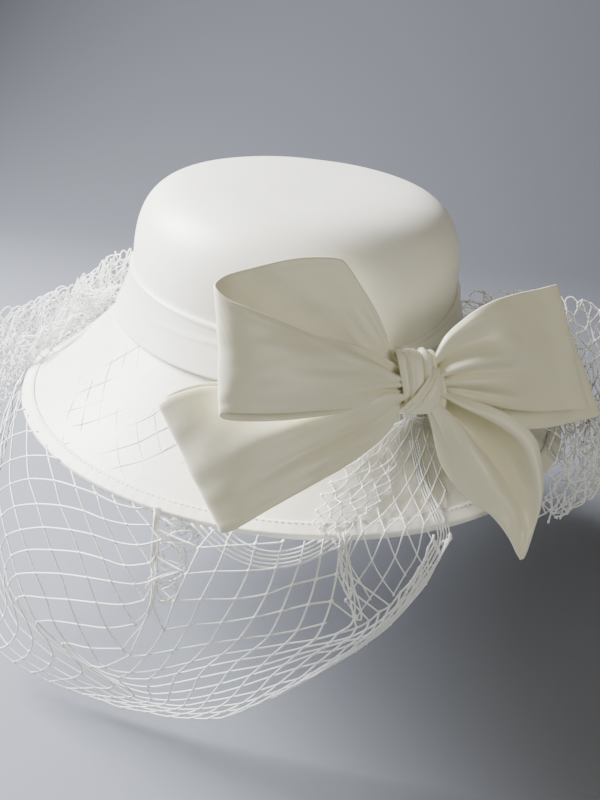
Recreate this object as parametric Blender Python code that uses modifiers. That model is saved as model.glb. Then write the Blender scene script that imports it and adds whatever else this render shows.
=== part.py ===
"""Ladies' dress hat: oval crown, down-turned brim, folded band, satin bow and netting veil.

Frame: metres, +Z up, origin at the centre of the head opening, -Y is the front of the hat.
"""

import math

import bpy
from mathutils import Vector

HAT_NAME = "dress_hat"
SEGMENTS = 48
GAP = 0.0003

# Crown: an oval of one shape all the way up, given by its half width.
CROWN_ASPECT = 1.15
CROWN_HALF_WIDTH = 0.0820
CROWN_BASE_HALF_WIDTH = 0.0870
CROWN_SHOULDER_BASE = 0.019
CROWN_HEIGHT = 0.0664
CROWN_SIDE_POWER = 6.5
CROWN_TOP_POWER = 2.9
CROWN_TOP_DOME = 0.0015
CROWN_MIDDLE_SHARE = 0.45
CROWN_FLARE_POWER = 1.6
CROWN_FOOT_Z = 0.001
COVER_THICKNESS = 0.0005
FOUNDATION_THICKNESS = 0.0009
LINING_THICKNESS = 0.0004
SHOULDER_STEPS = 7
POLE_MERGE = 0.00005

# Brim: each station is half width, half depth and height.
BRIM_INNER = (0.0876, 0.1009, 0.0004)
BRIM_OUTER = (0.1425, 0.1483, -0.0412)
BRIM_HOLLOW = 0.5
BRIM_SHIFT = 0.0045
BRIM_BACK_DROP = 0.005
BRIM_STATIONS = 5
BRIM_FOUNDATION_THICKNESS = 0.0008
BRIM_COVER_THICKNESS = 0.0004
EDGE_WIRE_RADIUS = 0.0006
BINDING_DEPTH = 0.008
BINDING_THICKNESS = 0.0004
# How far out each layer reaches, as a share of the brim's width.
FOUNDATION_END = 0.965
COVER_END = 0.985
BINDING_INSIDE_END = 0.997
BINDING_OUTSIDE_END = 1.012

# Ribbons inside the head opening.
RIBBON_FOOT_Z = 0.001
SEAM_TAPE_INSET = 0.0018
SEAM_TAPE_HEIGHT = 0.010
SEAM_TAPE_THICKNESS = 0.0005
SWEATBAND_HEIGHT = 0.025
SWEATBAND_THICKNESS = 0.0006

# Band round the foot of the crown.
BAND_BOTTOM_HALF_WIDTH = 0.0920
BAND_TOP_HALF_WIDTH = 0.0845
BAND_BOTTOM_INNER = 0.0880
BAND_TOP_INNER = 0.0825
BAND_HEIGHT = 0.0235
BAND_BOTTOM_Z = 0.0012
BAND_FOLDS = 3
BAND_FOLD_DEPTH = 0.0006

# Bow: local X runs along the bow to the wearer's left, local -Y faces out, local Z is up.
BOW_CENTRE = (0.0560, -0.1020, 0.0085)
BOW_AZIMUTH = math.radians(22)
BOW_TILT = math.radians(20)
RIBBON_THICKNESS = 0.0010
KNOT_SIZE = (0.0205, 0.0125, 0.0275)
KNOT_PLACE = (-0.0025, -0.0010, 0.0012)
KNOT_ROUNDING = 0.0055
LEFT_LOOP_BULGE = 0.002
RIGHT_LOOP_BULGE = 0.001
PATCH_SIZE = (0.022, 0.0012, 0.020)
PATCH_PLACE = (0.0, 0.0078, 0.002)
PATCH_ROUNDING = 0.0005
GATHER_SIZE = (0.012, 0.005, 0.006)
GATHER_PLACE = (-0.006, -0.005, -0.0195)
GATHER_ROUNDING = 0.0024
TACK_RADIUS = 0.0004
TACK_LENGTH = 0.0022
TACK_DEPTH = 0.0098
TACK_HEIGHTS = (0.006, -0.002)

# Netting: angles are in degrees from the front, positive to the wearer's left.
NET_THICKNESS = 0.0012
NET_LIFT = 0.0032

SATIN = (0.87, 0.86, 0.81)
BOW_SATIN = (0.85, 0.83, 0.75)
NET_WHITE = (0.90, 0.90, 0.88)
BUCKRAM = (0.80, 0.78, 0.70)
LINING = (0.88, 0.87, 0.84)
STEEL = (0.55, 0.55, 0.56)
THREAD = (0.92, 0.91, 0.87)


def clear_scene():
    for obj in list(bpy.data.objects):
        bpy.data.objects.remove(obj, do_unlink=True)


def make_material(name, colour, roughness, metallic=0.0):
    mat = bpy.data.materials.new(name)
    mat.use_nodes = True
    shader = mat.node_tree.nodes["Principled BSDF"]
    shader.inputs["Base Color"].default_value = (*colour, 1.0)
    shader.inputs["Roughness"].default_value = roughness
    shader.inputs["Metallic"].default_value = metallic
    mat.diffuse_color = (*colour, 1.0)
    return mat


def add_object(name, data, look):
    obj = bpy.data.objects.new(name, data)
    parts.objects.link(obj)
    data.materials.append(make_material(name, *look))
    if obj.type == "MESH":
        for face in data.polygons:
            face.use_smooth = True
    return obj


def mesh_from(name, points, faces=(), edges=()):
    mesh = bpy.data.meshes.new(name)
    mesh.from_pydata([tuple(p) for p in points], list(edges), list(faces))
    return mesh


def add_solidify(obj, thickness, offset=-1.0):
    wall = obj.modifiers.new("wall", "SOLIDIFY")
    wall.thickness = thickness
    wall.offset = offset
    wall.use_even_offset = True


def turned_shell(name, profile, thickness, look):
    """A dome open at the bottom, turned from its outer profile and made oval by its scale."""
    points = [(r, 0.0, z) for r, z in profile]
    edges = [(i, i + 1) for i in range(len(points) - 1)]
    obj = add_object(name, mesh_from(name, points, edges=edges), look)
    turn = obj.modifiers.new("turn", "SCREW")
    turn.steps = SEGMENTS
    turn.render_steps = SEGMENTS
    turn.use_merge_vertices = True
    turn.merge_threshold = POLE_MERGE
    turn.use_smooth_shade = True
    add_solidify(obj, thickness)
    obj.scale = (1.0, CROWN_ASPECT, 1.0)
    return obj


def oval_point(station, angle):
    """The point of a (half width, half depth, height, share) station at an angle from +X."""
    a, b, z, share = station
    share = min(share, 1.0)
    back = (1.0 + math.sin(angle)) / 2
    return (a * math.cos(angle) + BRIM_SHIFT * share, b * math.sin(angle), z - BRIM_BACK_DROP * share * back)


def oval_ring(name, section, look):
    """A closed section of (half width, half depth, height, share) stations swept round."""
    turning = 0.0
    for (a0, _, z0, _), (a1, _, z1, _) in zip(section, section[1:] + section[:1]):
        turning += a0 * z1 - a1 * z0
    if turning < 0:
        section = section[::-1]
    points = []
    for k in range(SEGMENTS):
        angle = 2 * math.pi * k / SEGMENTS
        points += [oval_point(station, angle) for station in section]
    count = len(section)
    faces = []
    for k in range(SEGMENTS):
        here, there = k * count, (k + 1) % SEGMENTS * count
        for i in range(count):
            j = (i + 1) % count
            faces.append((here + i, there + i, there + j, here + j))
    return add_object(name, mesh_from(name, points, faces), look)


def crown_profile(inset):
    """Outer profile of a crown layer, from its top to its foot, this far inside the satin."""
    half_width = CROWN_HALF_WIDTH - inset
    rise = CROWN_HEIGHT - inset - CROWN_SHOULDER_BASE
    profile = []
    for k in range(SHOULDER_STEPS + 1):
        angle = math.pi / 2 * (1 - k / SHOULDER_STEPS)
        radius = half_width * math.cos(angle) ** (2 / CROWN_SIDE_POWER)
        height = CROWN_SHOULDER_BASE + rise * math.sin(angle) ** (2 / CROWN_TOP_POWER)
        if k == 0:
            profile.append((0.0, height + CROWN_TOP_DOME))
            middle = CROWN_MIDDLE_SHARE * half_width
            profile.append((middle, height + CROWN_TOP_DOME * (1 - CROWN_MIDDLE_SHARE**2)))
            continue
        dome = CROWN_TOP_DOME * (1 - (radius / half_width) ** 2)
        profile.append((radius, height + dome))
    flare = CROWN_BASE_HALF_WIDTH - CROWN_HALF_WIDTH
    for share in (0.5, 1.0):
        height = CROWN_SHOULDER_BASE * (1 - share) + CROWN_FOOT_Z * share
        profile.append((half_width + flare * share**CROWN_FLARE_POWER, height))
    return profile


def brim_station(share, lift):
    """A point of the brim section: share runs from the head opening to the edge."""
    a = BRIM_INNER[0] + (BRIM_OUTER[0] - BRIM_INNER[0]) * share
    b = BRIM_INNER[1] + (BRIM_OUTER[1] - BRIM_INNER[1]) * share
    drop = BRIM_OUTER[2] - BRIM_INNER[2]
    z = BRIM_INNER[2] + drop * share * (1.0 + BRIM_HOLLOW * (1.0 - share))
    run = BRIM_OUTER[0] - BRIM_INNER[0]
    slope = drop * (1.0 + BRIM_HOLLOW * (1.0 - 2.0 * share)) / run
    size = math.hypot(1.0, slope)
    return (a - lift * slope / size, b - lift * slope / size, z + lift / size, share)


def brim_layer(name, low, high, inner_share, outer_share, look):
    """A layer of the brim between two heights measured square to the brim."""
    shares = [
        inner_share + (outer_share - inner_share) * k / (BRIM_STATIONS - 1)
        for k in range(BRIM_STATIONS)
    ]
    section = [brim_station(s, low) for s in shares]
    section += [brim_station(s, high) for s in reversed(shares)]
    return oval_ring(name, section, look)


def closed_wire(name, points, radius, look):
    curve = bpy.data.curves.new(name, "CURVE")
    curve.dimensions = "3D"
    curve.bevel_depth = radius
    curve.bevel_resolution = 1
    spline = curve.splines.new("POLY")
    spline.points.add(len(points) - 1)
    for point, place in zip(spline.points, points):
        point.co = (*place, 1.0)
    spline.use_cyclic_u = True
    return add_object(name, curve, look)


def sheet(name, rows, thickness, look, levels=1):
    """A thin closed sheet over a grid of points, smoothed and given a thickness."""
    width = len(rows[0])
    points = [p for row in rows for p in row]
    faces = []
    for j in range(len(rows) - 1):
        for i in range(width - 1):
            k = j * width + i
            faces.append((k, k + 1, k + width + 1, k + width))
    obj = add_object(name, mesh_from(name, points, faces), look)
    smooth = obj.modifiers.new("smooth", "SUBSURF")
    smooth.levels = levels
    smooth.render_levels = levels
    add_solidify(obj, thickness, offset=0.0)
    return obj


def place_on_bow(obj):
    obj.location = BOW_CENTRE
    obj.rotation_euler = (-BOW_TILT, 0.0, BOW_AZIMUTH)
    return obj


def cm(*values):
    return Vector(values) * 0.01


def ribbon(name, stations, bulge, look):
    """A ribbon through stations of (lower edge, upper edge), in centimetres in the bow frame."""
    rows = []
    for low, high in stations:
        low, high = cm(*low), cm(*high)
        middle = (low + high) / 2 + Vector((0.0, -bulge, 0.0))
        rows.append([low, middle, high])
    return place_on_bow(sheet(name, rows, RIBBON_THICKNESS, look))


def ramp(table, at):
    """The value at one place of a table of (place, value) pairs, straight between them."""
    for (x0, y0), (x1, y1) in zip(table, table[1:]):
        if at <= x1:
            return y0 + (y1 - y0) * max(0.0, (at - x0) / (x1 - x0))
    return table[-1][1]


def at_azimuth(station, degrees):
    return oval_point(station, math.radians(degrees - 90.0))


def net_sheet(name, start, end, columns, row_points):
    """A netting solid: row_points gives (half width, half depth, height) at an azimuth."""
    rows = []
    for k in range(columns + 1):
        azimuth = start + (end - start) * k / columns
        rows.append([at_azimuth(station, azimuth) for station in row_points(azimuth)])
    return sheet(name, rows, NET_THICKNESS, net_look, levels=0)


clear_scene()
parts = bpy.data.collections.new(HAT_NAME)
bpy.context.scene.collection.children.link(parts)

satin_look = (SATIN, 0.45)
bow_look = (BOW_SATIN, 0.38)
net_look = (NET_WHITE, 0.6)

# Crown, from the satin inwards.
turned_shell("crown_satin_cover", crown_profile(0.0), COVER_THICKNESS, satin_look)
inset = COVER_THICKNESS + GAP
turned_shell("crown_foundation", crown_profile(inset), FOUNDATION_THICKNESS, (BUCKRAM, 0.8))
inset += FOUNDATION_THICKNESS + GAP
turned_shell("crown_lining", crown_profile(inset), LINING_THICKNESS, (LINING, 0.7))
inset += LINING_THICKNESS + GAP

# Brim, from the foundation outwards.
half = BRIM_FOUNDATION_THICKNESS / 2
cover_low = half + GAP
cover_high = cover_low + BRIM_COVER_THICKNESS
brim_layer("brim_foundation", -half, half, 0.0, FOUNDATION_END, (BUCKRAM, 0.8))
brim_layer("brim_satin_upper", cover_low, cover_high, 0.0, COVER_END, satin_look)
brim_layer("brim_satin_lower", -cover_high, -cover_low, 0.0, COVER_END, satin_look)
wire_station = brim_station(COVER_END, 0.0)
wire_points = [oval_point(wire_station, 2 * math.pi * k / SEGMENTS) for k in range(SEGMENTS)]
closed_wire("brim_edge_wire", wire_points, EDGE_WIRE_RADIUS, (STEEL, 0.35, 1.0))

# Binding: up one side of the edge, round it and down the other.
run = math.dist((BRIM_OUTER[0], BRIM_OUTER[2]), (BRIM_INNER[0], BRIM_INNER[2]))
bind_share = 1.0 - BINDING_DEPTH / run
bind_low = cover_high + GAP
bind_high = bind_low + BINDING_THICKNESS
shares = (bind_share, (1.0 + bind_share) / 2, 1.0)
section = [brim_station(s, bind_high) for s in shares]
section.append(brim_station(BINDING_OUTSIDE_END, 0.0))
section += [brim_station(s, -bind_high) for s in reversed(shares)]
section += [brim_station(s, -bind_low) for s in shares[:-1]]
section += [brim_station(BINDING_INSIDE_END, lift) for lift in (-bind_low, bind_low)]
section += [brim_station(s, bind_low) for s in reversed(shares[:-1])]
oval_ring("brim_edge_binding", section, satin_look)

# Ribbons inside the head opening, standing against the lining.
inner_base = CROWN_BASE_HALF_WIDTH - inset


def inner_band(name, inset_more, height, thickness):
    """An upright ribbon inside the crown that leans with its wall."""
    lean = (CROWN_BASE_HALF_WIDTH - CROWN_HALF_WIDTH) / CROWN_SHOULDER_BASE
    low, high = RIBBON_FOOT_Z, RIBBON_FOOT_Z + height
    section = []
    for z, depth in ((low, 0.0), (high, 0.0), (high, thickness), (low, thickness)):
        a = inner_base - inset_more - lean * z - depth
        section.append((a, a * CROWN_ASPECT, z, 0.0))
    return oval_ring(name, section, (LINING, 0.6))


inner_band("seam_tape", SEAM_TAPE_INSET, SEAM_TAPE_HEIGHT, SEAM_TAPE_THICKNESS)
sweatband_inset = SEAM_TAPE_INSET + SEAM_TAPE_THICKNESS + GAP
inner_band("sweatband", sweatband_inset, SWEATBAND_HEIGHT, SWEATBAND_THICKNESS)

# Folded band: a shallow fold shows as a step in the outer face.
def band_point(low, high, share, step=0.0):
    a = low + (high - low) * share - step
    return (a, a * CROWN_ASPECT, BAND_BOTTOM_Z + BAND_HEIGHT * share, 0.0)


section = []
for k in range(2 * BAND_FOLDS + 1):
    share = k / (2 * BAND_FOLDS)
    section.append(band_point(BAND_BOTTOM_HALF_WIDTH, BAND_TOP_HALF_WIDTH, share, BAND_FOLD_DEPTH * (k % 2)))
for share in (1.0, 0.5, 0.0):
    section.append(band_point(BAND_BOTTOM_INNER, BAND_TOP_INNER, share))
oval_ring("hat_band", section, satin_look)


# Bow. The upper left loop lies in front of the lower one.
UPPER_LEFT = [
    ((-1.35, -0.45, -0.35), (-1.40, -0.45, 0.95)),
    ((-2.3, -0.8, -0.4), (-2.3, -0.7, 1.55)),
    ((-3.7, -1.3, -0.5), (-3.6, -1.1, 2.0)),
    ((-5.2, -1.7, -0.4), (-5.2, -1.5, 2.4)),
    ((-6.9, -2.0, -0.3), (-6.7, -1.8, 3.0)),
    ((-8.4, -2.05, -0.15), (-8.1, -1.9, 3.6)),
    ((-9.25, -1.6, -0.2), (-8.95, -1.2, 4.5)),
    ((-8.6, -1.6, -0.35), (-8.0, -0.8, 4.8)),
    ((-7.0, -1.65, -0.6), (-7.0, -0.55, 5.1)),
    ((-4.8, -1.25, -0.7), (-5.1, -0.3, 5.4)),
    ((-3.6, -0.95, -0.6), (-3.3, -0.1, 5.3)),
    ((-2.5, -0.5, -0.5), (-2.3, 0.0, 3.7)),
    ((-1.35, 0.0, -0.3), (-1.40, 0.0, 1.3)),
]
LOWER_LEFT = [
    ((-1.38, -0.42, -1.20), (-1.38, -0.30, -0.60)),
    ((-2.6, -0.85, -2.15), (-3.2, -0.55, -0.75)),
    ((-4.2, -1.3, -2.8), (-5.2, -0.75, -0.55)),
    ((-5.9, -1.7, -3.3), (-7.2, -0.75, -0.45)),
    ((-7.7, -2.0, -3.9), (-9.4, -0.45, 0.25)),
    ((-9.6, -1.95, -4.5), (-11.2, -0.15, 0.2)),
    ((-8.8, -1.55, -4.5), (-10.4, 0.15, 0.5)),
    ((-7.5, -1.35, -4.05), (-9.2, 0.3, 0.7)),
    ((-5.7, -1.05, -3.5), (-7.0, 0.35, 0.5)),
    ((-3.6, -0.5, -2.75), (-4.4, 0.35, 0.0)),
    ((-1.38, 0.15, -1.20), (-1.38, 0.20, -0.50)),
]
RIGHT = [
    ((0.85, -0.4, -0.4), (0.85, -0.4, 1.1)),
    ((1.7, -0.6, -0.65), (1.3, -0.6, 2.0)),
    ((2.6, -0.6, -0.95), (1.9, -0.8, 2.8)),
    ((4.2, -0.4, -1.4), (3.2, -0.6, 3.3)),
    ((5.9, 0.0, -1.7), (4.7, -0.1, 3.55)),
    ((7.6, 0.4, -1.85), (6.2, 0.4, 3.7)),
    ((9.3, 0.8, -2.0), (7.65, 0.9, 3.85)),
    ((8.4, 1.15, -1.7), (7.0, 1.2, 3.55)),
    ((6.3, 0.95, -1.4), (5.2, 1.0, 3.0)),
    ((3.4, 0.5, -0.9), (2.8, 0.5, 2.1)),
    ((0.90, 0.0, -0.3), (0.90, 0.0, 0.9)),
]
RIGHT_UNDER = [
    ((0.95, 0.15, -1.10), (0.95, 0.25, -0.45)),
    ((3.2, 0.8, -1.95), (2.9, 1.1, 0.6)),
    ((5.2, 1.3, -2.55), (4.8, 1.6, 1.7)),
    ((6.8, 1.55, -2.8), (6.4, 1.85, 2.3)),
    ((8.6, 1.75, -2.75), (7.7, 1.95, 2.8)),
    ((10.75, 1.85, -2.5), (8.7, 2.1, 2.9)),
    ((9.8, 2.25, -2.2), (8.0, 2.4, 2.3)),
    ((7.0, 2.1, -1.9), (6.2, 2.3, 1.4)),
    ((3.4, 1.35, -1.3), (3.2, 1.5, 0.5)),
    ((0.95, 0.55, -1.00), (0.95, 0.60, -0.45)),
]
TAIL = [
    ((0.25, -0.6, -1.60), (1.35, -0.6, -0.75)),
    ((0.3, -0.85, -2.4), (2.5, -1.25, -1.15)),
    ((0.45, -1.2, -3.2), (3.6, -1.45, -1.7)),
    ((0.95, -1.55, -4.0), (4.5, -1.65, -2.6)),
    ((1.7, -1.8, -4.85), (4.8, -1.75, -3.95)),
    ((2.5, -2.0, -5.6), (4.65, -1.9, -5.25)),
    ((3.0, -2.1, -6.6), (4.15, -2.0, -6.45)),
    ((3.35, -2.1, -7.65), (3.65, -2.1, -7.65)),
]
ribbon("bow_loop_upper_left", UPPER_LEFT, LEFT_LOOP_BULGE, bow_look)
ribbon("bow_loop_lower_left", LOWER_LEFT, LEFT_LOOP_BULGE, bow_look)
ribbon("bow_loop_right", RIGHT, RIGHT_LOOP_BULGE, bow_look)
ribbon("bow_layer_right_under", RIGHT_UNDER, 0.0, bow_look)
ribbon("bow_tail_right", TAIL, RIGHT_LOOP_BULGE, bow_look)


def rounded_block(name, size, place, radius, look, segments=2):
    bpy.ops.mesh.primitive_cube_add(size=1.0)
    obj = bpy.context.active_object
    for holder in list(obj.users_collection):
        holder.objects.unlink(obj)
    obj.name = name
    for vertex in obj.data.vertices:
        vertex.co = Vector(a * b for a, b in zip(vertex.co, size))
    parts.objects.link(obj)
    obj.data.materials.append(make_material(name, *look))
    edge = obj.modifiers.new("edge", "BEVEL")
    edge.width = radius
    edge.segments = segments
    edge.limit_method = "NONE"
    for face in obj.data.polygons:
        face.use_smooth = True
    local = Vector(place)
    turn = place_on_bow(obj).rotation_euler.to_matrix()
    obj.location = Vector(BOW_CENTRE) + turn @ local
    return obj


rounded_block("bow_knot", KNOT_SIZE, KNOT_PLACE, KNOT_ROUNDING, bow_look, 3)
rounded_block("bow_backing_patch", PATCH_SIZE, PATCH_PLACE, PATCH_ROUNDING, (BUCKRAM, 0.8))
rounded_block("veil_gather", GATHER_SIZE, GATHER_PLACE, GATHER_ROUNDING, net_look)
tack_size = (2 * TACK_RADIUS, TACK_LENGTH, 2 * TACK_RADIUS)
for index, height in enumerate(TACK_HEIGHTS, start=1):
    place = (0.0, TACK_DEPTH, height)
    rounded_block(f"bow_tack_{index}", tack_size, place, TACK_RADIUS * 0.4, (THREAD, 0.6), 1)

# Netting. Rows of the front veil run from the band, over the edge of the brim and down.
# How far the lower edge of the front veil hangs below the brim, and how far it stands out from it.
SWAG_DROP = [
    (-98, 0.030), (-83, 0.060), (-66, 0.092), (-53, 0.115), (-44, 0.123), (-35, 0.128), (-16, 0.125),
    (-6, 0.113), (2, 0.095), (10, 0.071), (15, 0.053), (21, 0.027), (28, 0.006),
]
SWAG_OUT = [
    (-98, 0.012), (-83, 0.019), (-66, 0.026), (-53, 0.026), (-44, 0.012), (-35, 0.0), (-16, -0.012),
    (-6, -0.012), (2, -0.009), (10, -0.002), (15, 0.004), (21, 0.010), (28, 0.004),
]
SWAG_STEPS = (0.0, 0.15, 0.33, 0.52, 0.70, 0.86, 1.0)
SWAG_START_OUT = 0.0045
SWAG_BELLY = 0.014
SWAG_FULL_DROP = 0.1
FRONT_SHARES = (0.20, 0.45, 0.70, 0.88, 0.995)
RIM_DROP = 0.003


def front_rows(azimuth):
    drop = ramp(SWAG_DROP, azimuth)
    end = ramp(SWAG_OUT, azimuth)
    belly = SWAG_BELLY * min(1.0, drop / SWAG_FULL_DROP)
    rows = [brim_station(share, NET_LIFT) for share in FRONT_SHARES]
    for t in SWAG_STEPS:
        out = SWAG_START_OUT + (end - SWAG_START_OUT) * t * t + belly * math.sin(math.pi * t)
        height = BRIM_OUTER[2] - RIM_DROP - drop * t
        rows.append((BRIM_OUTER[0] + out, BRIM_OUTER[1] + out, height, 1.0))
    return rows


RUFFLE_TOP = [(-150, 0.105), (-120, 0.103), (-89, 0.124), (-72, 0.156)]
RUFFLE_TOP_Z = [(-150, 0.004), (-120, 0.006), (-89, 0.000), (-72, -0.008)]
RUFFLE_REACH = 0.171
RUFFLE_ASPECT = 1.06
RUFFLE_ROWS = [(0.0, 0.0), (0.35, -0.004), (0.75, -0.016), (1.0, -0.036), (1.0, -0.058), (0.9, -0.076)]


def ruffle_rows(azimuth):
    top = ramp(RUFFLE_TOP, azimuth)
    height = ramp(RUFFLE_TOP_Z, azimuth)
    rows = []
    for share, drop in RUFFLE_ROWS:
        a = top + (RUFFLE_REACH - top) * share
        rows.append((a, a * RUFFLE_ASPECT, height + drop, share))
    return rows


PUFF_RISE = [(50, 0.0), (74, 0.0), (94, 0.034), (125, 0.029)]
PUFF_SHARES = (0.16, 0.36, 0.58, 0.80, 0.98)
PUFF_ROWS = [(0.010, -0.002), (0.022, -0.010), (0.027, -0.020), (0.020, -0.026)]


def puff_rows(azimuth):
    rise = ramp(PUFF_RISE, azimuth)
    rows = []
    for share in PUFF_SHARES:
        rows.append(brim_station(share, NET_LIFT + rise * math.sin(math.pi * share) ** 0.5))
    for out, drop in PUFF_ROWS:
        rows.append((BRIM_OUTER[0] + out, BRIM_OUTER[1] + out, BRIM_OUTER[2] + drop, 1.0))
    return rows


net_sheet("veil_front", SWAG_DROP[0][0], SWAG_DROP[-1][0], 18, front_rows)
net_sheet("veil_left_ruffle", RUFFLE_TOP[0][0], RUFFLE_TOP[-1][0], 10, ruffle_rows)
net_sheet("veil_right_puff", PUFF_RISE[0][0], PUFF_RISE[-1][0], 10, puff_rows)
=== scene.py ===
"""Ladies' dress hat in ivory satin with a bow and a diamond-net veil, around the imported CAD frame.

Metres, +Z up, the origin at the centre of the head opening, -Y the front, +X the wearer's left.
"""

import math

import bpy
import numpy as np
from mathutils import Matrix, Vector


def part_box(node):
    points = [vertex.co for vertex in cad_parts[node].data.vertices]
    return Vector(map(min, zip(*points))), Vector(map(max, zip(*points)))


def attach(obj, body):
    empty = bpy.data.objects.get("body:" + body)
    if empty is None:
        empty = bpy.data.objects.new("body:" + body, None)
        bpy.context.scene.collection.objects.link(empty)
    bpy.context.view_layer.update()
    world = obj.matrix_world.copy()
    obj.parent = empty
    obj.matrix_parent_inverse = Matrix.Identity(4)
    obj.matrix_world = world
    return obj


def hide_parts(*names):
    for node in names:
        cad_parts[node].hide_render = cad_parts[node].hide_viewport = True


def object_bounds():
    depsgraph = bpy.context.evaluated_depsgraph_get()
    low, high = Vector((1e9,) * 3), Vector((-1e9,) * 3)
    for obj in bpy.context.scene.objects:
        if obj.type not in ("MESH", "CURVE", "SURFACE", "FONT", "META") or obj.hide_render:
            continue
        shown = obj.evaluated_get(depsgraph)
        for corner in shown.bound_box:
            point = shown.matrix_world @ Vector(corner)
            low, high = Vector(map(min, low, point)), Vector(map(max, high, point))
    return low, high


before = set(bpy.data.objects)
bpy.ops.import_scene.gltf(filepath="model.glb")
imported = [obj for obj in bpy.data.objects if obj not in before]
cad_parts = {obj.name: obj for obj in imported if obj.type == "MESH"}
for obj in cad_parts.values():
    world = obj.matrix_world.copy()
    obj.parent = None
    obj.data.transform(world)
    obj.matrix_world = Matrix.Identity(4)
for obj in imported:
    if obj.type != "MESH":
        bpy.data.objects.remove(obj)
cad_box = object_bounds()

BODY = "root"
CROWN_ASPECT = 1.15
RING_STEPS = 192

# ---------------------------------------------------------------- camera, floor and light
CAMERA_PLACE = (0.0, -0.4263, 0.1560)
CAMERA_TURN = (63.69, -4.69, 1.22)
CAMERA_LENS = 38.25
FLOOR_DROP = 0.004
FLOOR_HALF_WIDTH = 2.6
FLOOR_FRONT_Y = -2.2
FLOOR_BEND_Y = 0.7
FLOOR_BEND_RADIUS = 0.5
FLOOR_BEND_STEPS = 12
BACKDROP_HEIGHT = 2.6

camera_data = bpy.data.cameras.new("camera")
camera_data.lens = CAMERA_LENS
camera_data.sensor_width = 36.0
camera_data.clip_start = 0.01
camera = bpy.data.objects.new("camera", camera_data)
camera.location = CAMERA_PLACE
camera.rotation_euler = [math.radians(angle) for angle in CAMERA_TURN]
bpy.context.scene.collection.objects.link(camera)
bpy.context.scene.camera = camera


def new_material(name):
    """A material with its Principled shader and node tree ready to use."""
    mat = bpy.data.materials.new(name)
    mat.use_nodes = True
    tree = mat.node_tree
    return mat, tree, tree.nodes["Principled BSDF"]


def node(tree, kind, inputs=None, **settings):
    made = tree.nodes.new(kind)
    for key, value in settings.items():
        setattr(made, key, value)
    for key, value in (inputs or {}).items():
        made.inputs[key].default_value = value
    return made


def wire(tree, a, a_socket, b, b_socket):
    tree.links.new(a.outputs[a_socket], b.inputs[b_socket])


def joined(parts):
    """Many (points, faces) parts as one."""
    points, faces, count = [], [], 0
    for more, part_faces in parts:
        points.append(np.asarray(more))
        faces.extend(tuple(i + count for i in face) for face in part_faces)
        count += len(more)
    return np.vstack(points), faces


def add_mesh(name, points, faces, mat):
    mesh = bpy.data.meshes.new(name)
    points = np.asarray(points, dtype=np.float64).reshape(-1, 3)
    mesh.from_pydata(points.tolist(), [], [tuple(int(i) for i in f) for f in faces])
    mesh.validate()
    mesh.polygons.foreach_set("use_smooth", [True] * len(mesh.polygons))
    obj = bpy.data.objects.new(name, mesh)
    bpy.context.scene.collection.objects.link(obj)
    obj.data.materials.append(mat)
    return obj


def floor_material():
    mat, tree, shader = new_material("floor_paper")
    shader.inputs["Base Color"].default_value = (0.20, 0.21, 0.24, 1.0)
    shader.inputs["Roughness"].default_value = 0.9
    shader.inputs["Specular IOR Level"].default_value = 0.2
    return mat


def sweep_floor():
    """A pale floor that curves up into a backdrop behind the hat."""
    low = cad_box[0][2] - FLOOR_DROP
    rows = [(FLOOR_FRONT_Y, low), (FLOOR_BEND_Y, low)]
    for k in range(1, FLOOR_BEND_STEPS + 1):
        angle = math.pi / 2 * k / FLOOR_BEND_STEPS
        y = FLOOR_BEND_Y + FLOOR_BEND_RADIUS * math.sin(angle)
        rows.append((y, low + FLOOR_BEND_RADIUS * (1 - math.cos(angle))))
    rows.append((FLOOR_BEND_Y + FLOOR_BEND_RADIUS, low + BACKDROP_HEIGHT))
    points = [(x, y, z) for y, z in rows for x in (-FLOOR_HALF_WIDTH, FLOOR_HALF_WIDTH)]
    faces = [(2 * k, 2 * k + 1, 2 * k + 3, 2 * k + 2) for k in range(len(rows) - 1)]
    floor = add_mesh("floor", points, faces, floor_material())


def area_light(name, place, target, size, power, colour):
    data = bpy.data.lights.new(name, "AREA")
    data.shape = "RECTANGLE"
    data.size, data.size_y = size
    data.energy = power
    data.color = colour
    lamp = bpy.data.objects.new(name, data)
    lamp.location = place
    lamp.rotation_euler = (Vector(target) - Vector(place)).to_track_quat("-Z", "Y").to_euler()
    bpy.context.scene.collection.objects.link(lamp)


def light_scene():
    """A strong window-like key from the left, with warm fill that leaves the right side dim."""
    world = bpy.data.worlds.new("studio")
    world.use_nodes = True
    background = world.node_tree.nodes["Background"]
    background.inputs["Color"].default_value = (1.0, 0.955, 0.80, 1.0)
    background.inputs["Strength"].default_value = 0.11
    bpy.context.scene.world = world
    area_light("key", (-0.66, 0.13, 0.42), (0, 0, 0.0), (0.40, 0.40), 46.0, (0.97, 0.98, 1.0))
    area_light("front", (-0.70, -1.05, 0.95), (0, 0, 0), (0.8, 0.8), 4.5, (1.0, 0.965, 0.85))
    area_light("right", (1.05, -0.95, 0.45), (0, 0, 0), (0.7, 0.7), 6.5, (1.0, 0.95, 0.80))


sweep_floor()
light_scene()


# ---------------------------------------------------------------- cloth materials
def coordinates(tree, scale, source="UV"):
    coord = node(tree, "ShaderNodeTexCoord")
    mapping = node(tree, "ShaderNodeMapping")
    mapping.inputs["Scale"].default_value = scale
    wire(tree, coord, source, mapping, "Vector")
    return mapping


def tint(tree, shader, factor, socket, low, high):
    """Lets a texture shift the base colour a little between two colours."""
    ramp = node(tree, "ShaderNodeValToRGB")
    ramp.color_ramp.elements[0].color = (*low, 1.0)
    ramp.color_ramp.elements[1].color = (*high, 1.0)
    ramp.color_ramp.elements[0].position = 0.3
    ramp.color_ramp.elements[1].position = 0.7
    wire(tree, factor, socket, ramp, "Fac")
    wire(tree, ramp, "Color", shader, "Base Color")


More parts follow.
